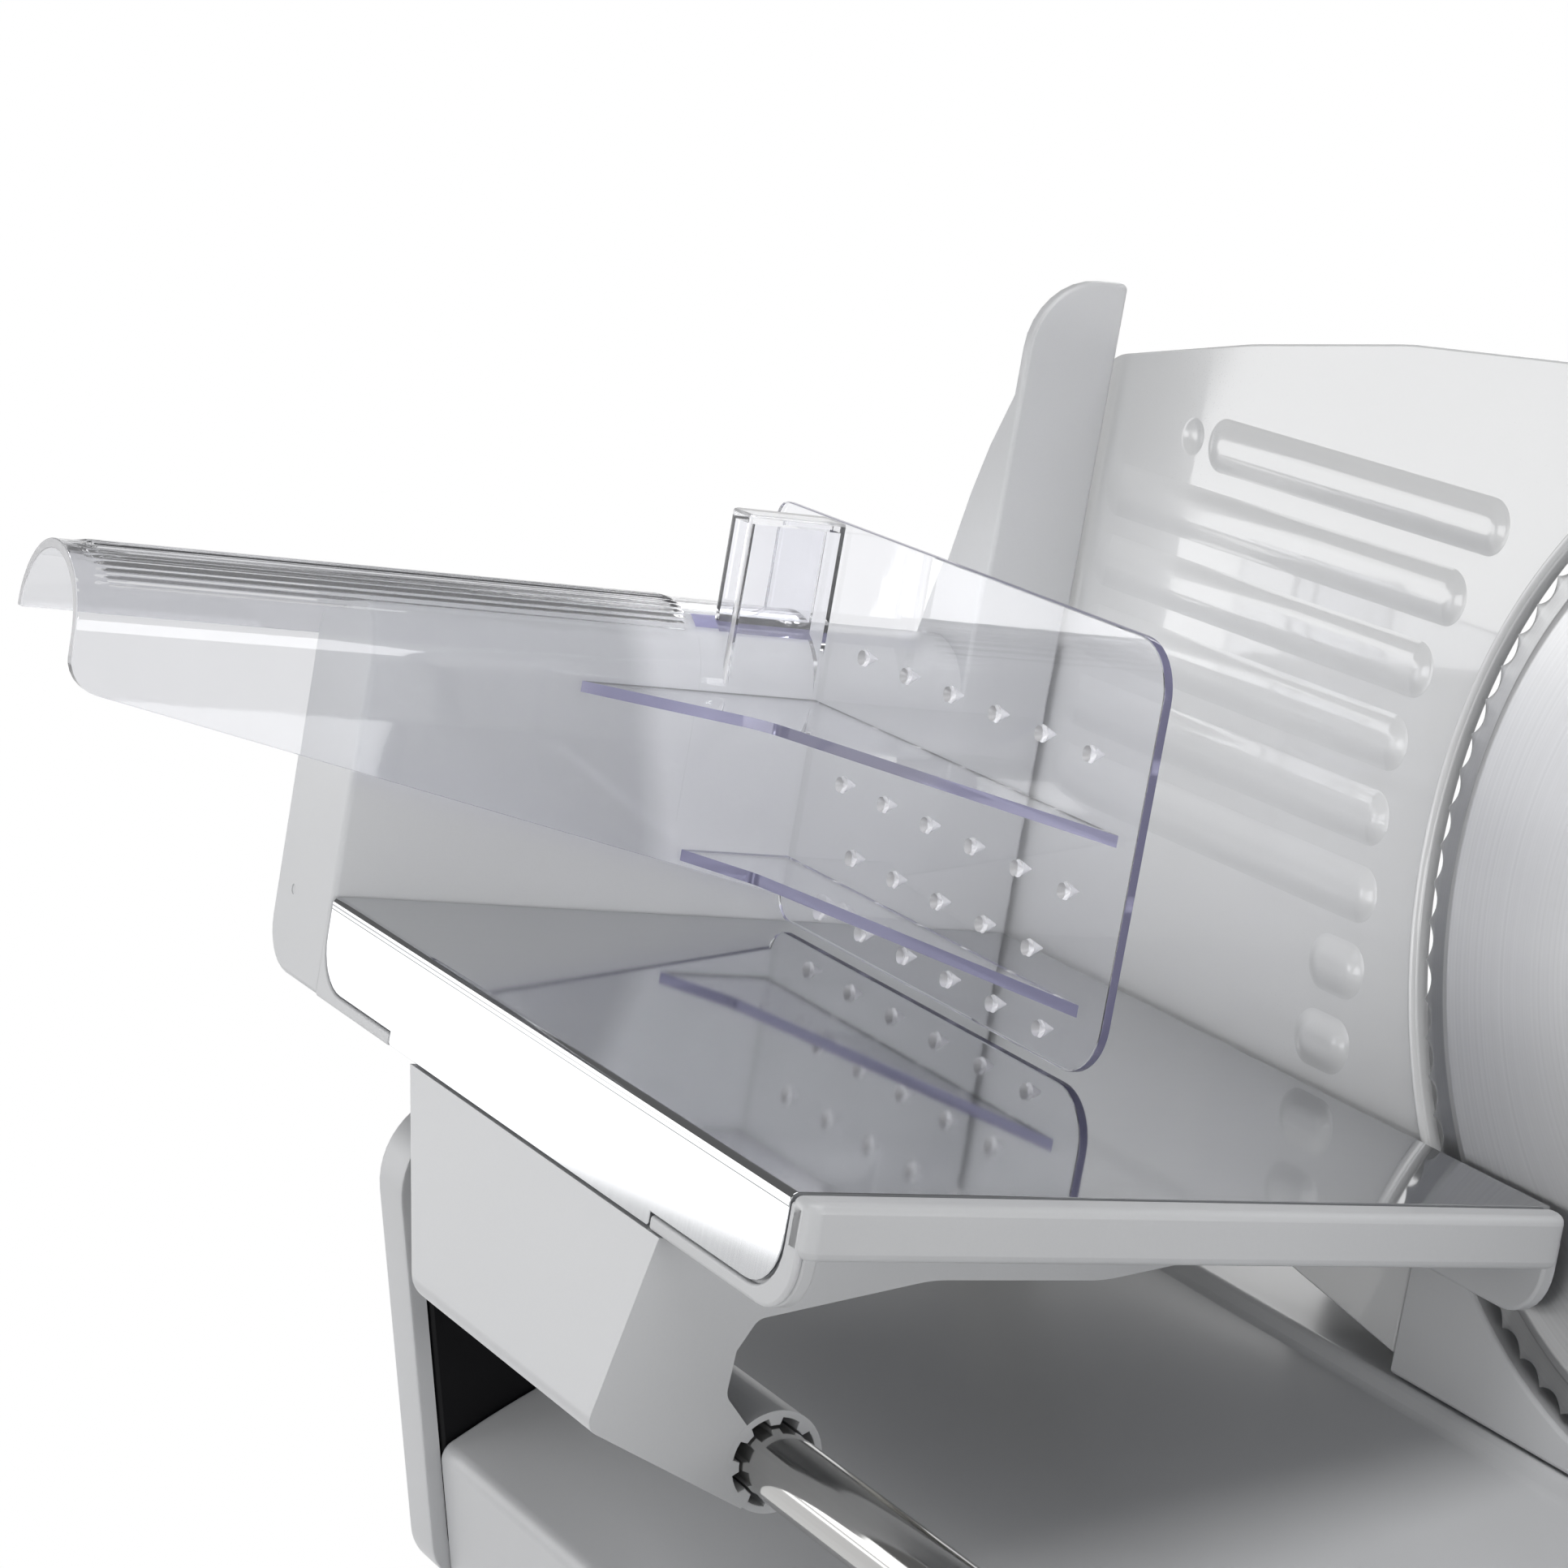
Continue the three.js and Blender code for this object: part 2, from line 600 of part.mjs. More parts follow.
// Thickness cam: a disc with a spiral groove that drives the carrier pin, on a shaft out to the knob.
const camLead = PLATE_TRAVEL / CAM_TURN;
const grooveHalf = pinRadius + GAP + 0.1;
const grooveSteps = 30;
const grooveMid = [];
for (let i = 0; i <= grooveSteps; i += 1) {
  const angle = (CAM_TURN * i) / grooveSteps;
  const radius = CAM_START - camLead * angle;
  grooveMid.push(point(-radius, 0).rotateAround(point(0, 0), -angle * turn));
}
const grooveOuter = [];
const grooveInner = [];
grooveMid.forEach((here, i) => {
  const last = grooveMid[Math.max(i - 1, 0)];
  const next = grooveMid[Math.min(i + 1, grooveSteps)];
  const side = next.clone().sub(last).normalize().rotateAround(point(0, 0), Math.PI / 2);
  grooveOuter.push(here.clone().addScaledVector(side, grooveHalf).add(point(camX, CAM_Z)));
  grooveInner.push(here.clone().addScaledVector(side, -grooveHalf).add(point(camX, CAM_Z)));
});
const grooveEnds = [grooveMid[0], grooveMid[grooveSteps]].map((here) =>
  rod('y', here.x + camX, here.y + CAM_Z, grooveHalf, camFront - 1, camBack - 1.5, 16),
);
const groove = prism('y', grooveOuter.concat(grooveInner.reverse()), camFront - 1, camBack - 1.5);
const camRadius = CAM_START + grooveHalf + 1.6;
const knobShaft = 3;
const knobFront = BOX_REAR + 2 * GAP + 1.5;
const knobDepth = 17;
const camDisc = rod('y', camX, CAM_Z, camRadius, camFront, camBack, 36);
const camBody = without(camDisc, grooveEnds.concat([groove]));
const camShaft = rod('y', camX, CAM_Z, knobShaft, camFront, knobFront + knobDepth - 4, 16);
nylon(tilted, 'thickness_cam', camBody.add(camShaft));
const bushFlange = turned('y', [
  [knobShaft + GAP, BOX_REAR - HOUSING_WALL - 1.5],
  [6, BOX_REAR - HOUSING_WALL - 1.5],
  [6, BOX_REAR + GAP],
  [9, BOX_REAR + GAP],
  [9, BOX_REAR + GAP + 1.2],
  [knobShaft + GAP, BOX_REAR + GAP + 1.2],
], 14).translate([camX, 0, CAM_Z]);
black(tilted, 'knob_bush', bushFlange);
const knobOutline = [];
for (let i = 0; i < 12; i += 1) {
  knobOutline.push(...arc(camX, CAM_Z, KNOB_RADIUS, i * 30, i * 30 + 14, 2));
  knobOutline.push(...arc(camX, CAM_Z, KNOB_RADIUS - 1.3, i * 30 + 18, i * 30 + 26, 1));
}
const knobBore = rod('y', camX, CAM_Z, knobShaft + GAP, 0, knobFront + knobDepth - 4 + GAP, 16);
const knobPointer = box(camX - 1.2, camX + 1.2, knobFront + knobDepth - 0.5, knobFront + knobDepth + 1, CAM_Z + 6, CAM_Z + 17);
black(tilted, 'thickness_knob', prism('y', knobOutline, knobFront, knobFront + knobDepth).add(knobPointer).subtract(knobBore));

// Outline of the motor housing seen along the blade axis: a tall motor part and a low box for the plate drive.
function housingOutline(inset) {
  return rounded([
    [HOUSING_FRONT + inset, HOUSING_SEAT + inset, 8],
    [BOX_REAR - inset, HOUSING_SEAT + inset, 8],
    [BOX_REAR - inset, BOX_TOP - inset, 10],
    [HOUSING_REAR - inset, BOX_TOP - inset, 8],
    [HOUSING_REAR - inset, HOUSING_TOP - inset, 30 - inset],
    [HOUSING_FRONT + inset, HOUSING_TOP - inset, 30 - inset],
  ]);
}

// Gear case: the plate behind the blade that carries the shaft bush, the idler pin, the motor and the guide rods.
const bushRadius = SHAFT_RADIUS + GAP + 2.7;
const bushBack = caseRight + 18;
const pinHold = caseRight + 8;
const idlerPin = 3;
const motorScrew = MOTOR_SIDE / 2 - 5;
const motorScrews = [
  [motorY + motorScrew, motorZ + motorScrew],
  [motorY - motorScrew, motorZ - motorScrew],
];
const guardPegs = [100, 150, 200, 250].map((angle) => [
  BLADE_Y + (coverRadius + 7) * Math.cos(angle * turn),
  bladeZ + (coverRadius + 7) * Math.sin(angle * turn),
]).filter(([y]) => y > HOUSING_FRONT + 6);
const gearCase = joined([
  prism('x', housingOutline(0), caseLeft, caseRight),
  rod('x', BLADE_Y, bladeZ, bushRadius + GAP + 3.5, caseLeft + 1, bushBack, 24),
  rod('x', idlerY, idlerZ, 7, caseLeft + 1, pinHold, 20),
  ...motorScrews.map(([y, z]) => rod('x', y, z, 5, caseLeft + 1, caseRight + 3.5)),
  ...rodY.map((y) => rod('x', y, rodZ, 7, caseLeft + 1, caseRight + 7)),
]);
const gearCaseCuts = [
  rod('x', BLADE_Y, bladeZ, bushRadius + GAP, caseLeft - 9, bushBack + 9, 24),
  rod('x', idlerY, idlerZ, idlerPin + GAP, caseLeft - 9, pinHold + 9),
  rod('x', motorY, motorZ, 11.5, caseLeft - 9, caseRight + 9),
  ...motorScrews.map(([y, z]) => rod('x', y, z, 2 + GAP, caseLeft - 9, caseRight + 9, 8)),
  ...rodY.map((y) => rod('x', y, rodZ, rodRadius + GAP, caseLeft + 2, caseRight + 19)),
  ...guardPegs.map(([y, z]) => rod('x', y, z, 2 + GAP, caseLeft - 9, caseRight + 9, 8)),
  box(caseLeft - 9, caseRight + 9, armY[0] - 1, armY[1] + 1, armZ[0] - 1, armZ[1] + 1),
];
grey(tilted, 'gear_case', without(gearCase, gearCaseCuts));

// Blade guard: a rim round the front of the blade and a block below it, on a flange against the gear case.
const guardBack = caseLeft - GAP;
const guardOuter = rimRadius + 7.5;
const guardRear = plateFront - 0.7;
const guardFlange = guardBack - 2.7;
function sector(inner, outer, from, to, steps) {
  return arc(BLADE_Y, bladeZ, outer, from, to, steps).concat(arc(BLADE_Y, bladeZ, inner, to, from, steps));
}
const guardBlock = box(guardFace, guardBack, BLADE_Y, guardRear, HOUSING_SEAT, bladeZ - 30);
const guardPocket = box(guardFace + 3, guardBack + 9, BLADE_Y, guardRear - 3, HOUSING_SEAT + 3, bladeZ - 30);
const guardBlockShell = guardBlock
  .subtract(guardPocket.subtract(rod('x', BLADE_Y, bladeZ, rimRadius + 3, 0, 300, 64)))
  .subtract(rod('x', BLADE_Y, bladeZ, rimRadius, 0, 300, 64));
const guardTrim = box(guardFace - 9, guardBack + 9, -400, guardRear, HOUSING_SEAT, 400);
const guard = joined([
  prism('x', sector(rimRadius, guardOuter, 72, 280, 36), guardFace, guardBack),
  prism('x', sector(coverRadius + 1.3, guardOuter - 2, 72, 280, 36), guardFlange, guardBack),
  guardBlockShell,
]);
const guardRoom = rod('x', BLADE_Y, bladeZ, rimRadius, guardFace - 9, guardFlange, 64);
const guardBody = guard.subtract(guardRoom).intersect(guardTrim);
const guardPegSolids = guardPegs.map(([y, z]) => rod('x', y, z, 2, guardFlange + 1, caseRight, 8));
grey(tilted, 'blade_guard', joined([guardBody, ...guardPegSolids]));

// Gear cover: a dish over the gear train, between the blade and the gear case.
const coverChord = HOUSING_REAR - 1.5;
const coverFace = bladeX + 3.5;
function coverOutline(inset) {
  const radius = coverRadius - inset;
  const angle = Math.acos((coverChord - inset - BLADE_Y) / radius) / turn;
  return arc(BLADE_Y, bladeZ, radius, angle, 360 - angle, 28);
}
const gearCover = prism('x', coverOutline(0), coverFace, caseLeft - GAP)
  .subtract(prism('x', coverOutline(2), coverFace + 2, caseLeft + 9))
  .subtract(rod('x', BLADE_Y, bladeZ, 18, coverFace - 9, coverFace + 9, 32));
grey(tilted, 'gear_cover', gearCover);

// Gear train: involute outlines with a small backlash.
function gearOutline(y, z, teeth, start) {
  const pitch = (TOOTH * teeth) / 2;
  const base = pitch * Math.cos(20 * turn);
  const involute = (angle) => Math.tan(angle) - angle;
  const points = [];
  const halfTooth = Math.PI / (2 * teeth) - 0.12 / pitch;
  const root = pitch - 1.25 * TOOTH;
  const tip = pitch + 0.85 * TOOTH;
  const radii = teeth > 30 ? [root, tip] : [root, pitch, tip];
  const half = radii.map((r) => halfTooth + involute(20 * turn) - involute(Math.acos(Math.min(base / r, 1))));
  for (let i = 0; i < teeth; i += 1) {
    const middle = start * turn + (i * 2 * Math.PI) / teeth;
    radii.forEach((r, k) => points.push(point(y + r * Math.cos(middle - half[k]), z + r * Math.sin(middle - half[k]))));
    for (let k = radii.length - 1; k >= 0; k -= 1) {
      const r = radii[k];
      points.push(point(y + r * Math.cos(middle + half[k]), z + r * Math.sin(middle + half[k])));
    }
  }
  return points;
}
const gearLeft = coverFace + 3.5;
const gearRight = gearLeft + 6;
const wheelLeft = gearRight + 1;
const wheelRight = wheelLeft + 5;
const bladeSeat = bladeX + 2.6;
const hubRadius = 16;
const drivePegs = [90, 210, 330].map((angle) => [BLADE_Y + 12 * Math.cos(angle * turn), bladeZ + 12 * Math.sin(angle * turn)]);
const bladeGear = joined([
  prism('x', gearOutline(BLADE_Y, bladeZ, WHEEL_TEETH, IDLER_ANGLE), gearLeft, gearRight),
  rod('x', BLADE_Y, bladeZ, hubRadius, bladeSeat + GAP, gearLeft + 1, 32),
  ...drivePegs.map(([y, z]) => rod('x', y, z, 2, bladeX + 1.5, gearLeft, 8)),
]);
nylon(tilted, 'blade_gear', bladeGear.subtract(rod('x', BLADE_Y, bladeZ, SHAFT_RADIUS + GAP, 0, 300, 24)));
const idlerStart = IDLER_ANGLE + 180 + 180 / PINION_TEETH;
const idler = prism('x', gearOutline(idlerY, idlerZ, PINION_TEETH, idlerStart), coverFace + 2.7, wheelLeft + 1)
  .add(prism('x', gearOutline(idlerY, idlerZ, WHEEL_TEETH, MOTOR_ANGLE), wheelLeft, wheelRight));
nylon(tilted, 'idler_gear', idler.subtract(rod('x', idlerY, idlerZ, idlerPin + GAP, 0, 300)));
steel(tilted, 'idler_pin', rod('x', idlerY, idlerZ, idlerPin, coverFace + 2.4, pinHold - 1));
const shaftTap = rod('x', BLADE_Y, bladeZ, 2.5, 0, bladeX + 14, 8);
const bladeShaft = rod('x', BLADE_Y, bladeZ, SHAFT_RADIUS, bladeX + 1, bushBack + 1, 24)
  .add(rod('x', BLADE_Y, bladeZ, SHAFT_RADIUS + 2.5, bushBack + GAP, bushBack + 3, 24))
  .subtract(shaftTap);
steel(tilted, 'blade_shaft', bladeShaft);
const bushRing = [circle(BLADE_Y, bladeZ, SHAFT_RADIUS + GAP, 24)];
const shaftBush = prism('x', circle(BLADE_Y, bladeZ, bushRadius, 24), caseLeft - 0.5, bushBack, bushRing);
add(tilted, 'shaft_bush', shaftBush, 0xb08d57, 1, 0.4);

// Blade: dished disc with a ground rim and a scalloped edge, held by one large flat screw.
const bodyProfile = [
  [SHAFT_RADIUS + GAP, bladeX + 1],
  [SHAFT_RADIUS + GAP, bladeX + 2.6],
  [23.3, bladeX + 2.6],
  [25.5, bladeX],
  [BLADE_RADIUS - 13.5, bladeX],
  [BLADE_RADIUS - 11, bladeX + 1.1],
  [BLADE_RADIUS - 9.5, bladeX + 1],
  [BLADE_RADIUS - 9.5, bladeX - 0.3],
  [BLADE_RADIUS - 10.5, bladeX - 0.4],
  [BLADE_RADIUS - 13, bladeX - 1.6],
  [24, bladeX - 1.6],
  [22, bladeX + 1],
];
const scallops = [];
for (let i = 0; i < SCALLOPS; i += 1) {
  const middle = (i * 360) / SCALLOPS;
  const step = 360 / SCALLOPS;
  [0, 0.5].forEach((share, k) => {
    const radius = BLADE_RADIUS - (k === 0 ? 0 : SCALLOP_DEPTH);
    const angle = (middle + share * step) * turn;
    scallops.push(point(BLADE_Y + radius * Math.cos(angle), bladeZ + radius * Math.sin(angle)));
  });
}
const bladeRing = prism('x', scallops, bladeX - 0.3, bladeX + 0.6, [circle(BLADE_Y, bladeZ, BLADE_RADIUS - 10.2, 32)]);
const bladeBody = turned('x', bodyProfile.reverse(), 32).translate([0, BLADE_Y, bladeZ]);
const pegHoles = drivePegs.map(([y, z]) => rod('x', y, z, 2 + GAP, bladeX - 9, bladeX + 9, 8));
steel(tilted, 'blade', without(bladeBody.add(bladeRing), pegHoles));
const screwSlot = box(bladeX - 2, bladeX - 0.5, BLADE_Y - 30, BLADE_Y + 30, bladeZ - 1.5, bladeZ + 1.5);
const bladeScrew = rod('x', BLADE_Y, bladeZ, 18, bladeX - 1.3, bladeX + 1 - GAP, 32)
  .add(rod('x', BLADE_Y, bladeZ, 2.2, bladeX, bladeX + 12, 8))
  .subtract(screwSlot);
steel(tilted, 'blade_screw', bladeScrew);

// Motor: pinion, shaft, rotor core, stator with its two coils, two brackets, long screws and a fan.
const bracketFront = caseRight + 3.5 + GAP;
const bracketWall = 3;
const coreFront = bracketFront + 11;
const coreBack = coreFront + CORE_LENGTH;
const bracketBack = coreBack + 11;
const motorShaft = 4;
const rotorRadius = MOTOR_SIDE / 3;
function motorSquare(inset) {
  const side = MOTOR_SIDE / 2 - inset;
  return rounded([
    [motorY - side, motorZ - side, 5],
    [motorY + side, motorZ - side, 5],
    [motorY + side, motorZ + side, 5],
    [motorY - side, motorZ + side, 5],
  ], 3);
}
const motorHoles = motorScrews.map(([y, z]) => rod('x', y, z, 2 + GAP, 0, 400, 8));
const shaftHole = rod('x', motorY, motorZ, motorShaft + GAP, 0, 400, 16);
const pinionStart = MOTOR_ANGLE + 180 + 180 / PINION_TEETH;
const pinion = prism('x', gearOutline(motorY, motorZ, PINION_TEETH, pinionStart), wheelLeft - 0.4, caseLeft - 0.5);
add(tilted, 'motor_pinion', pinion.subtract(shaftHole), 0xb08d57, 1, 0.4);
steel(tilted, 'motor_shaft', rod('x', motorY, motorZ, motorShaft, wheelLeft - 0.4, bracketBack + 20, 16));
const rotor = rod('x', motorY, motorZ, rotorRadius, coreFront, coreBack, 20).subtract(shaftHole);
add(tilted, 'rotor_core', rotor, 0x8a8c8e, 0.9, 0.5);
const statorHole = [circle(motorY, motorZ, rotorRadius + 0.9, 20)];
const stator = prism('x', motorSquare(0), coreFront, coreBack, statorHole);
add(tilted, 'motor_stator', without(stator, motorHoles), 0x6c6f73, 0.9, 0.5);
const coilProfile = circle(motorY, motorZ, rotorRadius + 6.5, 18);
const coilHole = [circle(motorY, motorZ, rotorRadius + 1, 18)];
const frontCoil = prism('x', coilProfile, coreFront - 7, coreFront - GAP, coilHole);
const rearCoil = prism('x', coilProfile, coreBack + GAP, coreBack + 7, coilHole);
add(tilted, 'front_coil', frontCoil, 0xb56a35, 0.9, 0.4);
add(tilted, 'rear_coil', rearCoil, 0xb56a35, 0.9, 0.4);
function bracket(plateLow, plateHigh, wallLow, wallHigh) {
  const ring = prism('x', motorSquare(0), wallLow, wallHigh, [motorSquare(2.2)]);
  const plate = prism('x', motorSquare(0), plateLow, plateHigh);
  return without(plate.add(ring), motorHoles.concat([shaftHole]));
}
const frontBracket = bracket(bracketFront, bracketFront + bracketWall, bracketFront + 1, coreFront - GAP);
const rearBracket = bracket(bracketBack - bracketWall, bracketBack, coreBack + GAP, bracketBack - 1);
steel(tilted, 'motor_front_bracket', frontBracket);
steel(tilted, 'motor_rear_bracket', rearBracket);
motorScrews.forEach(([y, z], i) => {
  const head = rod('x', y, z, 4, bracketBack + GAP, bracketBack + 3, 8);
  steel(tilted, `motor_screw_${i + 1}`, head.add(rod('x', y, z, 2, caseLeft + 1, bracketBack + 1, 8)));
});
const fanLeft = bracketBack + 6;
const fanVanes = [];
for (let i = 0; i < 8; i += 1) {
  const vane = box(fanLeft + 1, fanLeft + 10, -1, 1, 6, 26).rotate([i * 45, 0, 0]).translate([0, motorY, motorZ]);
  fanVanes.push(vane);
}
const fan = joined([
  rod('x', motorY, motorZ, 27, fanLeft, fanLeft + 2, 20),
  rod('x', motorY, motorZ, 8, fanLeft, fanLeft + 10, 16),
  ...fanVanes,
]);
black(tilted, 'cooling_fan', fan.subtract(shaftHole));

// Guide rods of the plate carrier and the bracket at their far end.
const rodEnd = crossRight + PLATE_TRAVEL + 22;
rodY.forEach((y, i) => {
  steel(tilted, `guide_rod_${i + 1}`, rod('x', y, rodZ, rodRadius, caseLeft + 2 + GAP, rodEnd));
});
const floorInside = HOUSING_SEAT + HOUSING_WALL + GAP;
const rodBracket = box(rodEnd - 7, rodEnd - 2, crossY[0], crossY[1], floorInside, CAM_Z + 4);
grey(tilted, 'rod_bracket', without(rodBracket, rodY.map((y) => rod('x', y, rodZ, rodRadius + GAP, rodEnd - 20, rodEnd + 9))));

// Motor housing and side cover.
const switchX = housingLeft + 46;
const switchZ = bladeZ;
const switchHalf = [7, 10.5];
const inletX = housingLeft + 60;
const inletZ = HOUSING_SEAT + 26;
const coverScrews = [
  [HOUSING_FRONT + 9, HOUSING_SEAT + 9],
  [BOX_REAR - 9, HOUSING_SEAT + 9],
  [HOUSING_FRONT + 13, HOUSING_TOP - 13],
  [HOUSING_REAR - 13, HOUSING_TOP - 13],
];
const housingOuter = prism('x', housingOutline(0), housingLeft, housingRight);
const housingBosses = coverScrews.map(([y, z]) => rod('x', y, z, 5.5, housingRight - 24, housingRight, 16).intersect(housingOuter));
const housing = joined([
  housingOuter.subtract(prism('x', housingOutline(HOUSING_WALL), housingLeft - 9, housingRight + 9)),
  ...housingBosses,
]);
const housingCuts = [
  rod('y', camX, CAM_Z, 6 + GAP, BOX_REAR - 9, BOX_REAR + 9),
  box(
    switchX - switchHalf[0] - GAP,
    switchX + switchHalf[0] + GAP,
    HOUSING_REAR - 9,
    HOUSING_REAR + 9,
    switchZ - switchHalf[1] - GAP,
    switchZ + switchHalf[1] + GAP,
  ),
  rod('y', inletX, inletZ, 6, HOUSING_FRONT - 9, HOUSING_FRONT + 9),
  ...coverScrews.map(([y, z]) => rod('x', y, z, 1.5 + GAP, housingRight - 18, housingRight + 9, 8)),
];
grey(tilted, 'motor_housing', without(housing, housingCuts));
const coverLeft = housingRight + GAP;
const sideCover = prism('x', housingOutline(0), coverLeft, coverRight - 3).add(
  prism('x', housingOutline(2), coverRight - 4, coverRight),
);
const coverCuts = [
  prism('x', housingOutline(HOUSING_WALL), coverLeft - 9, coverRight - 3).subtract(
    joined(coverScrews.map(([y, z]) => rod('x', y, z, 5.5, coverLeft, coverRight, 16))),
  ),
  ...coverScrews.map(([y, z]) => rod('x', y, z, 1.5 + GAP, coverLeft - 9, coverRight + 9, 8)),
];
for (let i = 0; i < 7; i += 1) {
  const z = motorZ - 24 + i * 8;
  coverCuts.push(box(coverRight - 9, coverRight + 9, motorY - 27, motorY + 27, z - 1.8, z + 1.8));
}
grey(tilted, 'side_cover', without(sideCover, coverCuts));
coverScrews.forEach(([y, z], i) => {
  const head = rod('x', y, z, 3, coverRight + GAP, coverRight + 1.8, 8);
  steel(tilted, `cover_screw_${i + 1}`, head.add(rod('x', y, z, 1.5, housingRight - 14, coverRight + 1, 8)));
});

// Power switch: a body that clips into the rear wall of the housing and a rocker in it.
const [switchW, switchH] = switchHalf;
const switchFace = HOUSING_REAR + GAP + 2;
const switchBody = joined([
  box(switchX - switchW, switchX + switchW, switchFace - 24, switchFace, switchZ - switchH, switchZ + switchH),
  box(switchX - switchW - 3, switchX + switchW + 3, HOUSING_REAR + GAP, switchFace, switchZ - switchH - 3, switchZ + switchH + 3),
]);
const switchWell = box(
  switchX - switchW + 1.5,
  switchX + switchW - 1.5,
  switchFace - 13,
  switchFace + 9,
  switchZ - switchH + 1.5,
  switchZ + switchH - 1.5,
);
black(tilted, 'switch_body', switchBody.subtract(switchWell));
const rockerY = switchFace - 6;
const rockerHalf = switchH - 3;
const rockerProfile = rounded([
  [-4, -rockerHalf + 3, 1],
  [9, -rockerHalf, 1],
  [7, 0],
  [9, rockerHalf, 1],
  [-4, rockerHalf - 3, 1],
], 2);
const rocker = prism('x', rockerProfile, switchX - switchW + 1.9, switchX + switchW - 1.9)
  .rotate([-7, 0, 0])
  .translate([0, rockerY, switchZ]);
add(tilted, 'switch_rocker', rocker, 0x9a1f1f, 0, 0.35);

// Cord inlet: a rubber grommet in the front wall of the housing.
const inletProfile = [
  [3.6, HOUSING_FRONT - 4],
  [9, HOUSING_FRONT - 4],
  [9, HOUSING_FRONT - GAP],
  [5.7, HOUSING_FRONT - GAP],
  [5.7, HOUSING_FRONT + HOUSING_WALL + GAP],
  [8, HOUSING_FRONT + HOUSING_WALL + GAP],
  [6.6, HOUSING_FRONT + HOUSING_WALL + 3],
  [3.6, HOUSING_FRONT + HOUSING_WALL + 3],
];
black(tilted, 'cord_inlet', turned('y', inletProfile, 14).translate([inletX, 0, inletZ]));

// Base: hollow housing with a crowned deck on the left and a leaning platform under the motor housing.
const baseBottom = FOOT_HEIGHT + BASE_PLATE + GAP;
const platformZ = HOUSING_SEAT - 0.5;
function platform(x, inset) {
  const z = platformZ - inset;
  return point(x * tiltCos + z * tiltSin, TRAY_HEIGHT - x * tiltSin + z * tiltCos);
}
const stepX = TRAY_WIDTH + 1.5;
const platformEnd = (baseRight - platformZ * tiltSin) / tiltCos;
function baseSection(inset, bottom) {
  const start = DECK_HEIGHT - DECK_DROP;
  const radius = (DECK_RUN ** 2 + DECK_DROP ** 2) / (2 * DECK_DROP);
  const lean = Math.asin(DECK_RUN / radius) / turn;
  const deck = arc(BASE_LEFT + DECK_RUN, DECK_HEIGHT - radius, radius - inset, 90 + lean, 90, 8);
  const left = BASE_LEFT + inset;
  const right = baseRight - inset;
  const edge = platform(stepX, inset);
  const far = platform(platformEnd, inset);
  const corner = rounded([
    [left, bottom],
    [left, start - inset * 1.2, inset === 0 ? 4 : 0],
    [BASE_LEFT + 14, start + 4.6 - inset * 1.05],
  ]);
  return corner.slice(0, -1).concat(
    deck.filter((here) => here.x > BASE_LEFT + 8),
    [point(edge.x - 3, DECK_HEIGHT - inset), edge, point(right, far.y + (far.x - right) * (tiltSin / tiltCos)), point(right, bottom)],
  );
}
const footRadius = 13;
const stemRadius = 3.5;
const stemTop = baseBottom + 8;
const feet = [
  ['foot_front_left', BASE_LEFT + 18, BASE_FRONT + 18],
  ['foot_rear_left', BASE_LEFT + 18, BASE_REAR - 18],
  ['foot_front_right', baseRight - 18, BASE_FRONT + 18],
  ['foot_rear_right', baseRight - 18, BASE_REAR - 18],
];
const baseOuter = prism('y', baseSection(0, baseBottom).reverse(), BASE_FRONT, BASE_REAR);
const baseInner = prism('y', baseSection(BASE_WALL, 0).reverse(), BASE_FRONT + BASE_WALL, BASE_REAR - BASE_WALL);
const baseBosses = feet.map(([, x, y]) => rod('z', x, y, stemRadius + 3, baseBottom, DECK_HEIGHT).intersect(baseOuter));
const baseBores = feet.map(([, x, y]) => rod('z', x, y, stemRadius + GAP, 0, stemTop + GAP, 10));
grey(level, 'base_housing', without(joined([baseOuter.subtract(baseInner), ...baseBosses]), baseBores));
const basePlan = rounded([
  [BASE_LEFT, BASE_FRONT, 4],
  [baseRight, BASE_FRONT, 8],
  [baseRight, BASE_REAR, 8],
  [BASE_LEFT, BASE_REAR, 4],
]);
const basePlate = prism('z', basePlan, FOOT_HEIGHT, FOOT_HEIGHT + BASE_PLATE);
grey(level, 'base_plate', without(basePlate, baseBores));
feet.forEach(([name, x, y]) => {
  const pad = rod('z', x, y, footRadius, 0, FOOT_HEIGHT - GAP);
  const recess = rod('z', x, y, footRadius - 4, -1, 1.5);
  const stem = rod('z', x, y, stemRadius, FOOT_HEIGHT - 2, stemTop, 10);
  black(level, name, pad.subtract(recess).add(stem));
});

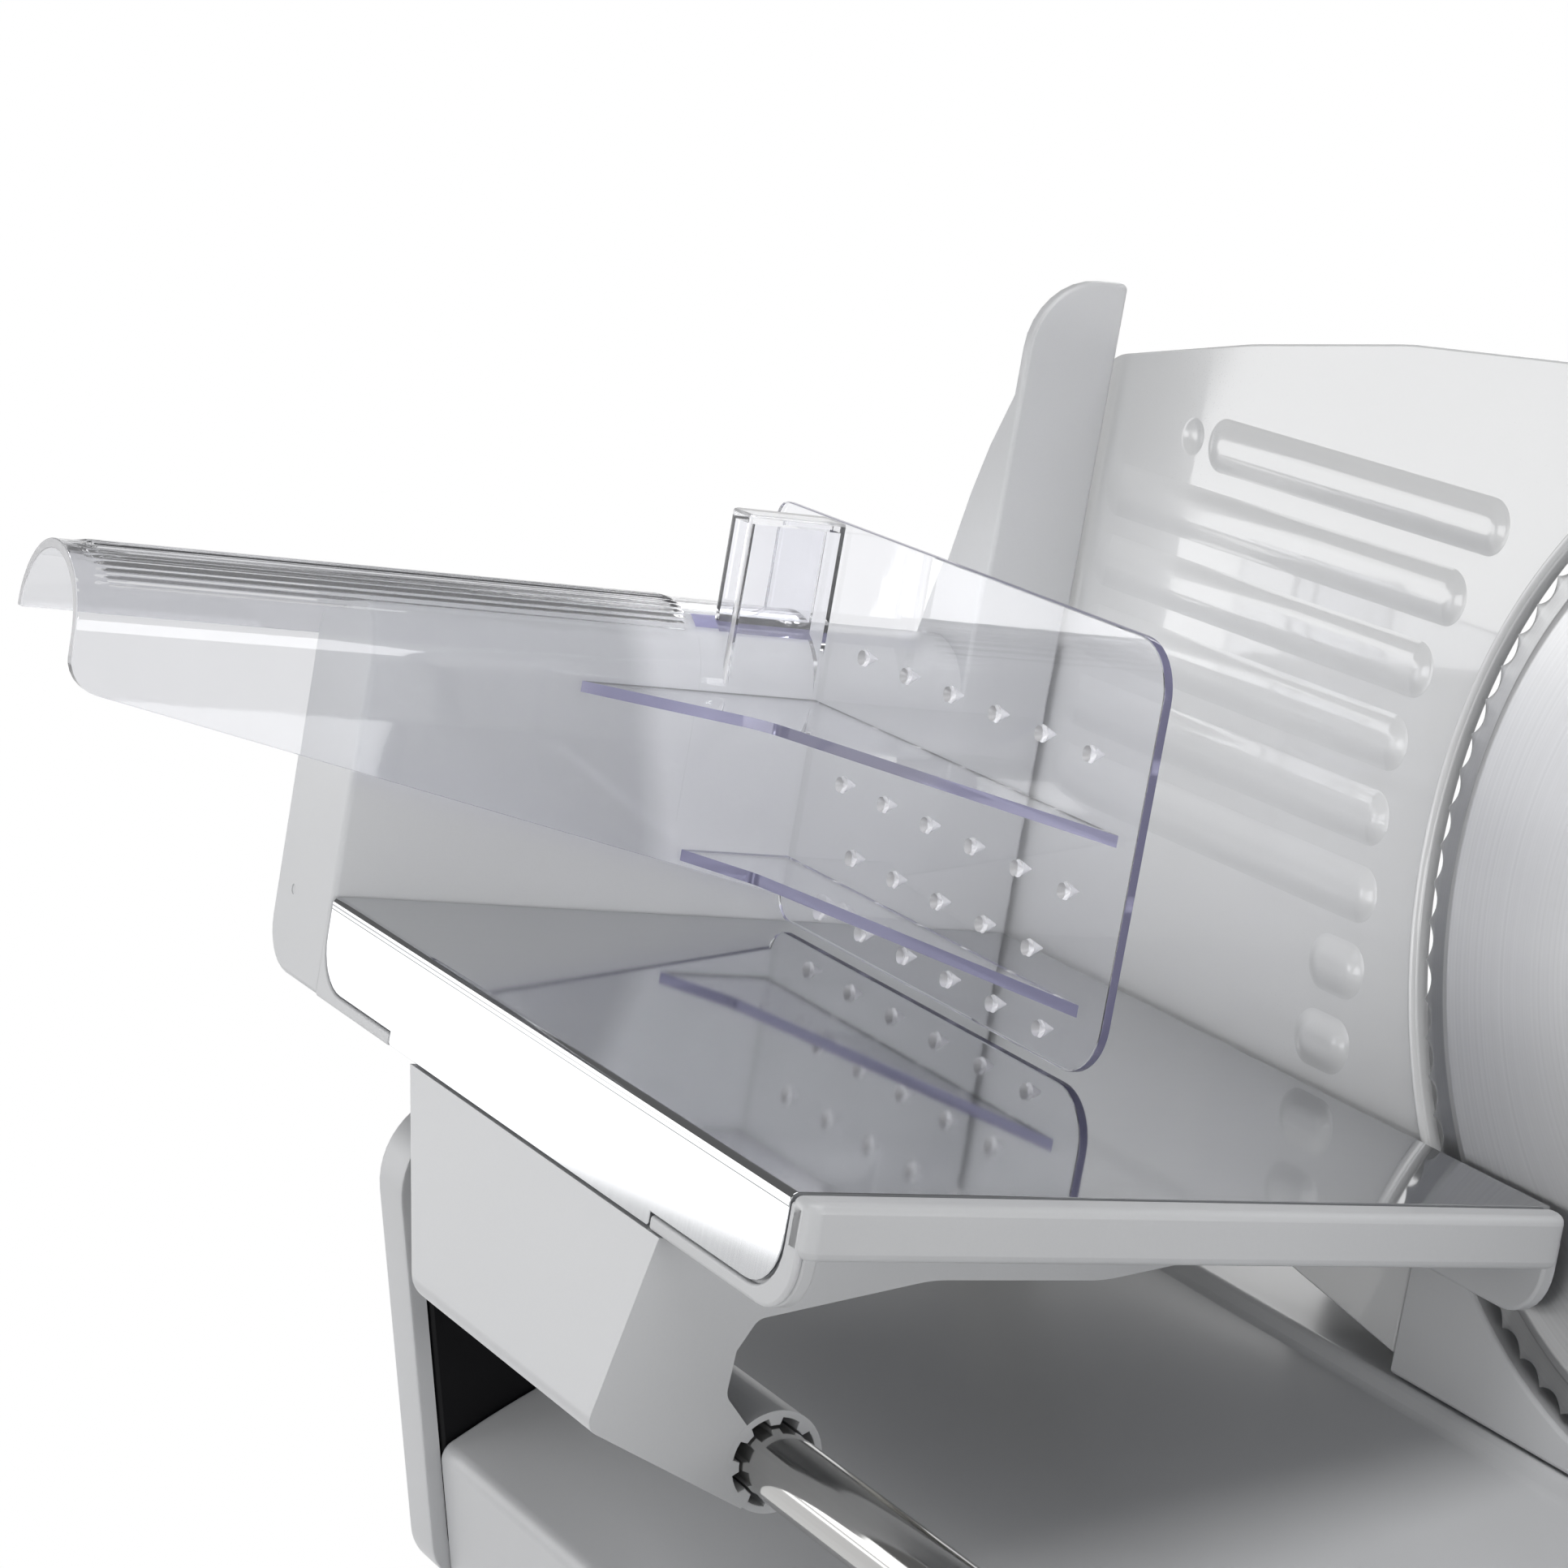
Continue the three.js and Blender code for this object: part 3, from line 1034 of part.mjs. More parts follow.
// End caps: bookends at both ends of the base that carry the rail; each has a black panel on its inner side.
function endCap(name, inner, away) {
  const span = (from, to) => [Math.min(inner + away * from, inner + away * to), Math.max(inner + away * from, inner + away * to)];
  const outline = (inset) => rounded([
    [capLeft + inset, capBottom + inset, 10 - inset / 2],
    [capLeft + CAP_WIDTH - inset, capBottom + inset, 10 - inset / 2],
    [capLeft + CAP_WIDTH - inset, CAP_TOP - inset, 17 - inset],
    [capLeft + inset, CAP_TOP - inset, 17 - inset],
  ], 5);
  const shell = prism('y', outline(0), ...span(GAP, CAP_DEPTH)).subtract(prism('y', outline(3.5), ...span(0, CAP_DEPTH - 3)));
  const boss = rod('y', railX, railZ, RAIL_RADIUS + 4, ...span(2.6 + GAP, CAP_DEPTH - 1), 24);
  const seat = rod('y', railX, railZ, RAIL_RADIUS + GAP, ...span(0, CAP_DEPTH - 3), 24);
  const bore = rod('y', railX, railZ, 2 + GAP, ...span(0, CAP_DEPTH + 9), 8);
  grey(level, `${name}_end_cap`, without(shell.add(boss), [seat, bore]));
  const panelHole = [circle(railX, railZ, RAIL_RADIUS + GAP, 24)];
  black(level, `${name}_end_panel`, prism('y', outline(3.5 + GAP), ...span(GAP, 2.6), panelHole));
  const head = rod('y', railX, railZ, 5, ...span(CAP_DEPTH + GAP, CAP_DEPTH + 2.3), 16);
  steel(level, `${name}_rail_screw`, head.add(rod('y', railX, railZ, 2, ...span(-3, CAP_DEPTH + 1), 8)));
}
endCap('rear', BASE_REAR, 1);
endCap('front', BASE_FRONT, -1);
const railFront = BASE_FRONT - CAP_DEPTH + 3 + GAP;
const railRear = BASE_REAR + CAP_DEPTH - 3 - GAP;
const rail = rod('y', railX, railZ, RAIL_RADIUS, railFront, railRear, 32);
const railTaps = [
  rod('y', railX, railZ, 2 + GAP, railRear - 14, railRear + 9, 8),
  rod('y', railX, railZ, 2 + GAP, railFront - 9, railFront + 14, 8),
];
steel(level, 'carriage_rail', without(rail, railTaps));

// The origin is the middle of the bounding box, on the worktop.
slicer.updateMatrixWorld(true);
const bounds = new THREE.Box3().setFromObject(slicer, true);
const middle = bounds.getCenter(new THREE.Vector3());
[level, tilted].forEach((group) => {
  group.position.x -= middle.x;
  group.position.y -= middle.y;
  group.position.z -= bounds.min.z;
});
slicer.updateMatrixWorld(true);

export default slicer;
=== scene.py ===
# %% [markdown]
# # Dressing a food slicer
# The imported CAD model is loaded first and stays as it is. The pieces that show are then modelled again with finer
# edges, each one riding on the CAD body that carries it, and every surface gets a material made from nodes.

import json
from math import acos, asin, atan2, cos, degrees, pi, radians, sin, sqrt, tan

import bmesh
import bpy
from mathutils import Matrix, Vector


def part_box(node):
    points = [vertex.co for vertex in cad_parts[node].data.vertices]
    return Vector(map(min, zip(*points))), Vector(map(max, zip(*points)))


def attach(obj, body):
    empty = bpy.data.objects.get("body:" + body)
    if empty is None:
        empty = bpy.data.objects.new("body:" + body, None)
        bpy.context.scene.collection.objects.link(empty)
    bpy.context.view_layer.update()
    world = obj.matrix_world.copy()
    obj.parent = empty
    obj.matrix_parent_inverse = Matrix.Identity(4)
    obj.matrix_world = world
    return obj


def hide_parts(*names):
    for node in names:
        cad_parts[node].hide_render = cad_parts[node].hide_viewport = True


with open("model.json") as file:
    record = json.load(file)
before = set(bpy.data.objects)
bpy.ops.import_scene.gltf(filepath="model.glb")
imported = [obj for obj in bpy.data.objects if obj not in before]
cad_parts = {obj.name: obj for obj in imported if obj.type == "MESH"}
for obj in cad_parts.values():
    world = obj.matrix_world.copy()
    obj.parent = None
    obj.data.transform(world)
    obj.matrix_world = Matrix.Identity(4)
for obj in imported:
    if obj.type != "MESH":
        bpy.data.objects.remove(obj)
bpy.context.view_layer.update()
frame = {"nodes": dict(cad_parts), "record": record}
nodes = frame["nodes"]
scene = bpy.context.scene

# %% [markdown]
# ## Two drawing frames
# The base is level, but the tray, the blade and the motor lean by 15 degrees. Drawing each piece in the frame that it
# lies in keeps its numbers simple, and one matrix then puts it in place. Both frames start at the front left corner of
# the tray and count millimetres: `LEVEL` measures heights from the worktop, `TILTED` from the tray.

# %% Drawing frames
MM = 0.001
TILT = radians(15)
RAIL_X, RAIL_Z = 13.768, 75.606
TRAY_HEIGHT = 144.0
rail_low, rail_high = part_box("carriage_rail")
tray_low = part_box("tray_plate")[0]
CORNER = Vector(((rail_low[0] + rail_high[0]) / 2 - RAIL_X * MM, tray_low[1], TRAY_HEIGHT * MM))
SCALE = Matrix.Scale(MM, 4)
LEVEL = Matrix.Translation((CORNER.x, CORNER.y, 0)) @ SCALE
TILTED = Matrix.Translation(CORNER) @ Matrix.Rotation(TILT, 4, "Y") @ SCALE
print("tray corner at", [round(v, 4) for v in CORNER])

# %% [markdown]
# ## Camera
# The camera was worked out from the edges of the tray and the circle of the blade, so it is not aimed by eye: its
# three axes are numbers, and its place is measured from the tray corner. The Standard view keeps colours as they are.
# Light passes the clear plastic many times, so it may bounce more often than usual.

# %% Camera
scene.view_settings.view_transform = "Standard"
scene.cycles.max_bounces = 24
scene.cycles.transmission_bounces = 24
RIGHT = Vector((0.87649, -0.47780, -0.05890))
UP = Vector((0.19121, 0.23324, 0.95343))
BACK = Vector((-0.44181, -0.84694, 0.29580))
FROM_CORNER = Vector((-0.31392, -0.60804, 0.28172))
camera = bpy.data.objects.new("camera", bpy.data.cameras.new("camera"))
scene.collection.objects.link(camera)
axes = Matrix((RIGHT, UP, BACK)).transposed().to_4x4()
camera.matrix_world = Matrix.Translation(CORNER + FROM_CORNER) @ axes
camera.data.sensor_width = 36
camera.data.lens = 103.42
camera.data.clip_start = 0.01
scene.camera = camera
print("camera lens", round(camera.data.lens, 2), "mm")

# %% [markdown]
# ## Lamps
# Every lamp is a soft rectangle, as in a product studio. Low ones at the left and in front leave the deck under the
# tray in shade. The one behind at the left is what the thickness plate mirrors, and the strip under it is what the
# bent edge of the tray mirrors. A narrow one lifts the fin and the pusher, one overhead opens the shadows, and one
# behind at the right lights the sides that the camera does not see.

# %% Lamps


def lamp(name, place, aim, size, power, spread=180):
    data = bpy.data.lights.new(name, "AREA")
    data.shape = "RECTANGLE"
    data.size, data.size_y = size
    data.energy = power
    data.spread = radians(spread)
    thing = bpy.data.objects.new(name, data)
    scene.collection.objects.link(thing)
    thing.location = place
    thing.rotation_euler = (Vector(aim) - Vector(place)).to_track_quat("-Z", "Y").to_euler()


lamp("left_lamp", (-1.7, -0.1, 0.5), aim=(0, 0.05, 0.15), size=(1.2, 0.55), power=7.2)
lamp("front_lamp", (0.1, -1.8, 0.3), aim=(0, 0, 0.2), size=(1.6, 0.5), power=10.2)
lamp("back_lamp", (-0.793, 0.721, 0.31), aim=(-0.233, -0.099, 0.31), size=(0.7, 0.34), power=1.9)
lamp("strip_lamp", (-0.793, 0.721, 0.041), aim=(-0.233, -0.099, 0.041), size=(0.7, 0.08), power=0.26)
lamp("grid_lamp", (0.3, -1.6, 0.75), aim=(0.05, 0.12, 0.29), size=(0.3, 0.2), power=0.04, spread=14)
lamp("top_lamp", (0, -0.25, 1.15), aim=(0, -0.05, 0.1), size=(0.9, 0.7), power=6.5)
lamp("rear_lamp", (1.5, 1.2, 0.75), aim=(0.05, 0, 0.12), size=(1.2, 0.7), power=8)
print(len(bpy.data.lights), "lamps")

# %% [markdown]
# ## Shader sums
# A material is easier to read when its maths looks like maths. `Signal` wraps one shader socket, so that `a * 0.2 + b`
# makes the Math nodes, and its `node` method adds any other node and links what it is given. Inputs go by name, with
# underscores for spaces, or by number, such as i0, where a node has several inputs of one name.

# %% Signals


class Signal:
    def __init__(self, tree, socket):
        self.tree = tree
        self.socket = socket

    def node(self, kind, output=0, settings=None, **inputs):
        made = self.tree.nodes.new(kind)
        for key, value in (settings or {}).items():
            setattr(made, key, value)
        for key, value in inputs.items():
            target = made.inputs[int(key[1:]) if key[1:].isdigit() else key.replace("_", " ")]
            if isinstance(value, Signal):
                self.tree.links.new(value.socket, target)
            else:
                target.default_value = value
        return Signal(self.tree, made.outputs[output])

    def sum(self, operation, first, second):
        return self.node("ShaderNodeMath", settings={"operation": operation}, i0=first, i1=second)

    def __add__(self, other):
        return self.sum("ADD", self, other)

    def __mul__(self, other):
        return self.sum("MULTIPLY", self, other)

    def __sub__(self, other):
        return self.sum("SUBTRACT", self, other)

    def __rsub__(self, other):
        return self.sum("SUBTRACT", other, self)

    def __pow__(self, other):
        return self.sum("POWER", self, other)

    __radd__ = __add__
    __rmul__ = __mul__

    def clamp(self, low, high):
        return self.sum("MINIMUM", self.sum("MAXIMUM", self, low), high)

    def noise(self, scale, detail=3.0, roughness=0.5):
        return self.node("ShaderNodeTexNoise", Vector=self, Scale=scale, Detail=detail, Roughness=roughness)

    def between(self, dark, light):
        colours = {"i6": (*dark, 1), "i7": (*light, 1)}
        return self.node("ShaderNodeMix", output=2, settings={"data_type": "RGBA"}, i0=self, **colours)


print("signals ready")

# %% [markdown]
# A material starts with its constants on the shader and a signal of the place on the object. Object coordinates are
# used because they stay with a piece when it moves. `feed` links what varies over the surface, `bumped` its relief.

# %% Material helpers


def material(name, **constants):
    made = bpy.data.materials.new(name)
    made.use_nodes = True
    shader = made.node_tree.nodes["Principled BSDF"]
    for key, value in constants.items():
        shader.inputs[key.replace("_", " ")].default_value = value
    start = made.node_tree.nodes.new("ShaderNodeTexCoord")
    return made, shader, Signal(made.node_tree, start.outputs["Object"])


def feed(shader, **signals):
    for key, signal in signals.items():
        signal.tree.links.new(signal.socket, shader.inputs[key.replace("_", " ")])


def bumped(shader, height, strength, distance):
    feed(shader, Normal=height.node("ShaderNodeBump", Strength=strength, Distance=distance, Height=height))


print("material helpers ready")

# %% [markdown]
# ## Moulded plastics
# The mouldings are silver, the end panels and the knob black, the feet rubber. A picture of plastic would have to be
# unwrapped onto every piece; noise needs no unwrapping. A fine noise is the grain of the mould, and a broad one makes
# colour and gloss faintly uneven. Scales are per metre, so 900 gives grains of about a millimetre. The thickness plate
# is smooth lacquered aluminium, for which the same recipe does under a clear coat.

# %% Plastic materials
BROAD, FINE, GRAIN = 14, 2600, 900


def moulded(name, dark, light, rough, grain, coat=0.0, shine=0.5):
    made, shader, here = material(name, IOR=1.5, Coat_Weight=coat, Coat_Roughness=0.05, Specular_IOR_Level=shine)
    broad = here.noise(BROAD, 2)
    fine = here.noise(FINE, 2)
    feed(shader, Base_Color=(broad * 0.6 + fine * 0.4).between(dark, light))
    feed(shader, Roughness=(fine - 0.5) * 0.08 + (broad - 0.5) * 0.08 + rough)
    bumped(shader, here.noise(GRAIN, 3), grain, 0.0004)
    return made


SILVER = moulded("silver_plastic", (0.565, 0.572, 0.585), (0.615, 0.622, 0.635), rough=0.34, grain=0.03)
BLACK = moulded("black_plastic", (0.003, 0.003, 0.004), (0.007, 0.007, 0.008), rough=0.42, grain=0.08, shine=0.15)
RED = moulded("red_plastic", (0.25, 0.008, 0.008), (0.36, 0.016, 0.014), rough=0.3, grain=0.04)
NYLON = moulded("nylon", (0.7, 0.69, 0.63), (0.8, 0.79, 0.74), rough=0.45, grain=0.06)
RUBBER = moulded("rubber", (0.01, 0.01, 0.01), (0.022, 0.022, 0.022), rough=0.7, grain=0.25)
PLATE = moulded("plate_aluminium", (0.69, 0.695, 0.7), (0.73, 0.735, 0.74), rough=0.3, grain=0.004, coat=0.9)
print("plastics and lacquer:", [m.name for m in (SILVER, BLACK, RED, NYLON, RUBBER, PLATE)])

# %% [markdown]
# The pusher is clear plastic, one solid, so light bends on the way in and on the way out. The handle and the side plate
# are a little greyer than the plate that presses, so the colour changes along the fence. Edges get a darker violet copy
# of the plastic: its own tint seen along a long way through it, with painted shade on top. Rounded corners, the curved
# wall of the post, the left end of the handle and the spikes get a pale, less clear copy, which is a painted highlight
# for their glints.

# %% Clear plastic
# Up to this distance along the tray the pusher is a little greyer.
GREYER_TO = 0.068


def clear(name, dark, light, rough, through):
    made, shader, here = material(name, IOR=1.44, Transmission_Weight=through)
    haze = here.noise(60, 3)
    along = here.node("ShaderNodeSeparateXYZ", Vector=here) - (CORNER.x + GREYER_TO)
    feed(shader, Base_Color=((along * 120).clamp(0, 0.85) + haze * 0.15).between(dark, light))
    feed(shader, Roughness=(haze - 0.4).clamp(0, 1) * 0.06 + rough)
    bumped(shader, here.noise(120, 2), 0.03, 0.0003)
    return made


CLEAR = clear("clear_plastic", (0.72, 0.724, 0.745), (0.94, 0.942, 0.965), rough=0.012, through=0.97)
# A darker violet copy of the clear plastic for the edges: the plastic's own tint along its length, made darker still as
# painted shade.
VIOLET = clear("clear_edge", (0.28, 0.27, 0.47), (0.38, 0.37, 0.6), rough=0.05, through=0.6)
# A pale, less clear copy of the plastic is a painted highlight for the glints on rounded corners and spikes.
PAINTED_GLINT = clear("clear_painted_glint", (0.8, 0.8, 0.83), (0.88, 0.88, 0.9), rough=0.2, through=0.5)
print("clear plastics:", [m.name for m in (CLEAR, VIOLET, PAINTED_GLINT)])

# %% [markdown]
# ## Metals
# The tray is polished, the rail plated, and screws and gears are plain metal. Brushing could be a picture too; here it
# is noise stretched along one direction: along the feed for the tray, along the rod for the rail. Only colour,
# roughness and bump vary, and how metallic a surface is stays one number.

# %% Metal materials


def metal(name, dark, light, rough, stretch, streak=0.05, bump=0.03):
    made, shader, here = material(name, Metallic=1.0)
    lines = here.node("ShaderNodeMapping", Vector=here, Scale=stretch).noise(1, 4, 0.6)
    smudge = here.noise(22, 3)
    feed(shader, Base_Color=(lines * 0.6 + smudge * 0.4).between(dark, light))
    feed(shader, Roughness=(lines - 0.5) * streak + (smudge - 0.5) * streak + rough)
    bumped(shader, lines, bump, 0.0002)
    return made


ALONG_FEED, ALONG_ROD = (60, 2400, 60), (900, 20, 900)
TRAY = metal("polished_steel", (0.48, 0.487, 0.5), (0.55, 0.557, 0.57), 0.06, ALONG_FEED, streak=0.03, bump=0.004)
CHROME = metal("chrome", (0.44, 0.437, 0.43), (0.53, 0.527, 0.52), 0.1, ALONG_ROD, bump=0.01)
STEEL = metal("zinc_steel", (0.5, 0.5, 0.52), (0.66, 0.66, 0.68), 0.34, (700, 700, 700))
BRASS = metal("brass", (0.55, 0.4, 0.17), (0.72, 0.54, 0.26), 0.3, (900, 900, 900))
COPPER = metal("copper_wire", (0.42, 0.18, 0.07), (0.62, 0.3, 0.13), 0.35, (2200, 60, 60))
CORE = metal("core_steel", (0.2, 0.2, 0.21), (0.34, 0.34, 0.35), 0.45, (2600, 40, 40))
print("metals:", [m.name for m in (TRAY, CHROME, STEEL, BRASS, COPPER, CORE)])

# %% [markdown]
# The blade is brushed in rings by the wheel that polished it, so its noise runs on the distance from the shaft and not
# on a place. That distance is worked out from coordinates turned back by the tilt. Near the edge the steel is ground
# and looks darker.

# %% Blade steel
BLADE_X, BLADE_Y, BLADE_Z = 164.0, -38.8, 54.0
GROUND_FROM, RINGS_PER_METRE = 0.0884, 1300
BLADE, shader, here = material("blade_steel", Metallic=1.0)
flat = here.node("ShaderNodeVectorRotate", settings={"rotation_type": "Y_AXIS"}, Vector=here, Angle=-TILT)
hub = Matrix.Rotation(-TILT, 3, "Y") @ (TILTED @ Vector((BLADE_X, BLADE_Y, BLADE_Z)))
across = flat.node("ShaderNodeSeparateXYZ", output=1, Vector=flat) - hub.y
upward = flat.node("ShaderNodeSeparateXYZ", output=2, Vector=flat) - hub.z
reach = (across * across + upward * upward) ** 0.5
rings = (here.node("ShaderNodeCombineXYZ", X=reach * RINGS_PER_METRE).noise(1, 4, 0.65) - 0.5) * 1.3 + 0.5
ground = ((reach - GROUND_FROM) * 4000).clamp(0, 1)
brightness = rings * 0.45 + (1 - ground) * 0.45 + 0.1
feed(shader, Base_Color=brightness.between((0.3, 0.303, 0.307), (0.67, 0.673, 0.678)))
feed(shader, Roughness=(rings - 0.5) * 0.12 + 0.41 - ground * 0.1)
bumped(shader, rings, 0.05, 0.0002)
print("blade steel, ground outside", round(GROUND_FROM / MM, 1), "mm")

# %% [markdown]
# The record gives every piece a slot, the name of its finish. One table says which material fills each slot.

# %% Finishes by slot
LOOKS = {"silver_plastic": SILVER, "black_plastic": BLACK, "red_plastic": RED, "clear_plastic": CLEAR}
LOOKS.update({"polished_steel": TRAY, "chrome": CHROME, "blade_steel": BLADE, "plate_aluminium": PLATE})
LOOKS.update({"nylon": NYLON, "brass": BRASS, "copper": COPPER, "core_steel": CORE, "steel": STEEL, "rubber": RUBBER})
print(len(LOOKS), "slots have a material")

# %% [markdown]
# ## Outlines
# Most pieces start as a flat outline in millimetres, as on a drawing. `arc` gives points on a circle, and `rounded`
# turns corners into arcs. A corner is (x, y), or (x, y, radius) where it is round.

# %% Outline helpers


def on_circle(x, y, radius, angle):
    return (x + radius * cos(radians(angle)), y + radius * sin(radians(angle)))


def arc(x, y, radius, start, end, steps):
    return [on_circle(x, y, radius, start + (end - start) * i / steps) for i in range(steps + 1)]


def rounded(corners, steps=8):
    points = []
    for i, (x, y, *radius) in enumerate(corners):
        here = Vector((x, y))
        if not radius:
            points.append((x, y))
            continue
        back = (Vector(corners[i - 1][:2]) - here).normalized()
        ahead = (Vector(corners[(i + 1) % len(corners)][:2]) - here).normalized()
        half = acos(max(-1, min(1, back.dot(ahead)))) / 2
        middle = here + (back + ahead).normalized() * (radius[0] / sin(half))
        first = here + back * (radius[0] / tan(half)) - middle
        last = here + ahead * (radius[0] / tan(half)) - middle
        start = degrees(atan2(first.y, first.x))
        sweep = degrees(atan2(first.cross(last), first.dot(last)))
        points += arc(middle.x, middle.y, radius[0], start, start + sweep, steps)
    return points


print("a rounded square has", len(rounded([(0, 0, 1), (9, 0, 1), (9, 9, 1), (0, 9, 1)])), "points")

# %% [markdown]
# ## Solids
# `slab` pulls an outline along an axis and `turned` spins a profile of (radius, along) points, as a lathe would. An
# outline across x is drawn in (y, z), across y in (x, z), across z in (x, y). Drawing this way takes fewer steps than
# pushing the faces of a cube about, and the numbers stay those of the drawing.

# %% Solid helpers


def spot(axis, u, v, along):
    return Vector({"x": (along, u, v), "y": (u, along, v), "z": (u, v, along)}[axis])


def loop(bm, axis, outline, along):
    verts = [bm.verts.new(spot(axis, u, v, along)) for u, v in outline]
    return verts, [bm.edges.new(pair) for pair in zip(verts, verts[1:] + verts[:1])]


def pull(bm, faces, step):
    made = bmesh.ops.extrude_face_region(bm, geom=faces)["geom"]
    bmesh.ops.translate(bm, verts=[g for g in made if isinstance(g, bmesh.types.BMVert)], vec=step)
    return [g for g in made if isinstance(g, bmesh.types.BMFace)]


def slab(bm, axis, outline, low, high):
    verts = loop(bm, axis, outline, low)[0]
    return pull(bm, [bm.faces.new(verts)], spot(axis, 0, 0, high - low))


def solid(axis, outline, low, high):
    bm = bmesh.new()
    slab(bm, axis, outline, low, high)
    return bm


def block(bm, x0, x1, y0, y1, z0, z1):
    slab(bm, "z", [(x0, y0), (x1, y0), (x1, y1), (x0, y1)], z0, z1)
    return bm


def turned(axis, u, v, profile, steps=48):
    bm = bmesh.new()
    verts = [bm.verts.new(spot(axis, u + radius, v, along)) for radius, along in profile]
    edges = [bm.edges.new(pair) for pair in zip(verts, verts[1:])]
    turn = {"cent": spot(axis, u, v, 0), "axis": spot(axis, 0, 0, 1), "angle": 2 * pi, "steps": steps}
    bmesh.ops.spin(bm, geom=verts + edges, use_merge=True, **turn)
    bmesh.ops.remove_doubles(bm, verts=bm.verts, dist=0.0005)
    return bm


print("solid helpers ready")

# %% [markdown]
# ## From solid to piece
# Moulded edges catch the light, so sharp edges are rounded. `soften` bevels chosen edges in the drawing, before solids
# are joined; `finish_piece` can add a Bevel modifier instead, where all edges are alike. It then evens out the shading,
# gives the piece the material of its slot unless it has its own, ties it to its body and hides the CAD node that it
# stands for.

# %% Piece helpers


def soften(bm, width, segments=3, where=lambda middle: True):
    bmesh.ops.recalc_face_normals(bm, faces=bm.faces)
    sharp = [e for e in bm.edges if len(e.link_faces) == 2 and e.calc_face_angle() > radians(25)]
    chosen = [e for e in sharp if where((e.verts[0].co + e.verts[1].co) / 2)]
    shape = {"offset": width, "segments": segments, "profile": 0.5, "affect": "EDGES", "clamp_overlap": True}
    bmesh.ops.bevel(bm, geom=chosen, material=-1, **shape)
    return bm


def to_mesh(name, bm, matrix):
    bmesh.ops.recalc_face_normals(bm, faces=bm.faces)
    mesh = bpy.data.meshes.new(name)
    bm.to_mesh(mesh)
    bm.free()
    mesh.transform(matrix)
    return mesh


def finish_piece(name, mesh, body, replaced, slot, bevel=0.0, segments=3, angle=40):
    mesh.shade_smooth()
    mesh.set_sharp_from_angle(angle=radians(angle))
    if not mesh.materials:
        mesh.materials.append(LOOKS[slot])
    thing = bpy.data.objects.new(name, mesh)
    scene.collection.objects.link(thing)
    if bevel:
        rounding = thing.modifiers.new("rounding", "BEVEL")
        rounding.width = bevel * MM
        rounding.segments = segments
        rounding.limit_method = "ANGLE"
        rounding.angle_limit = radians(angle)
    weighted = thing.modifiers.new("even shading", "WEIGHTED_NORMAL")
    weighted.keep_sharp = True
    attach(thing, body)
    if replaced:
        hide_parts(replaced)
    print(name, "rides on", body, "with", len(mesh.polygons), "faces")
    return thing


# %% [markdown]
# Some pieces are cut or joined from simpler solids. Booleans run as modifiers on the first solid; the evaluated mesh
# is kept, and the helper objects are removed again. `piece` cuts, joins and finishes in one call. Most pieces are of
# silver plastic and lean with the tray, so it starts from that.

# %% Boolean helper


def combine(name, first, others, matrix):
    base = bpy.data.objects.new(name, to_mesh(name, first, matrix))
    scene.collection.objects.link(base)
    helpers = [base]
    for bm, operation in others:
        tool = bpy.data.objects.new("tool", to_mesh("tool", bm, matrix))
        scene.collection.objects.link(tool)
        step = base.modifiers.new(operation, "BOOLEAN")
        step.operation = operation
        step.solver = "EXACT"
        step.object = tool
        helpers.append(tool)
    bpy.context.view_layer.update()
    result = bpy.data.meshes.new_from_object(base.evaluated_get(bpy.context.evaluated_depsgraph_get()))
    for thing in helpers:
        bpy.data.objects.remove(thing)
    return result


def piece(name, bm, body, replaced, slot="silver_plastic", cut=(), add=(), matrix=TILTED, **edges):
    steps = [(tool, "DIFFERENCE") for tool in cut] + [(tool, "UNION") for tool in add]
    mesh = combine(name, bm, steps, matrix) if steps else to_mesh(name, bm, matrix)
    finish_piece(name, mesh, body, replaced, slot, **edges)


print("boolean helper ready")

# %% [markdown]
# ## Floor
# A wide sheet under the feet. A floor bright enough to look white would also light the machine from below, so it is
# pale grey to the lamps, and only camera, mirror and glass rays see it as plain white.

# %% Floor


def seen_directly(tree):
    rays = tree.nodes.new("ShaderNodeLightPath")
    total = Signal(tree, rays.outputs["Is Camera Ray"]) + Signal(tree, rays.outputs["Is Glossy Ray"])
    return (total + Signal(tree, rays.outputs["Is Transmission Ray"])).clamp(0, 1)


bm = bmesh.new()
bmesh.ops.create_grid(bm, x_segments=2, y_segments=2, size=6)
floor = bpy.data.objects.new("floor", to_mesh("floor", bm, Matrix.Translation((0, 0, -0.0004))))
scene.collection.objects.link(floor)
white = bpy.data.materials.new("floor")
white.use_nodes = True
tree = white.node_tree
shader = tree.nodes["Principled BSDF"]
shader.inputs["Base Color"].default_value = (0.86, 0.86, 0.86, 1)
shader.inputs["Roughness"].default_value = 0.8
glow = tree.nodes.new("ShaderNodeEmission")
mixed = tree.nodes.new("ShaderNodeMixShader")
tree.links.new(seen_directly(tree).socket, mixed.inputs[0])
tree.links.new(shader.outputs[0], mixed.inputs[1])
tree.links.new(glow.outputs[0], mixed.inputs[2])
tree.links.new(mixed.outputs[0], tree.nodes["Material Output"].inputs["Surface"])
floor.data.materials.append(white)
print("floor made")

# %% [markdown]
# ## Backdrop
# The world is white where it is seen and dim where it only lights. Mirrors find a darker ceiling above the horizon, as
# in a studio, because a polished rod under an all-white sky would have no shape.

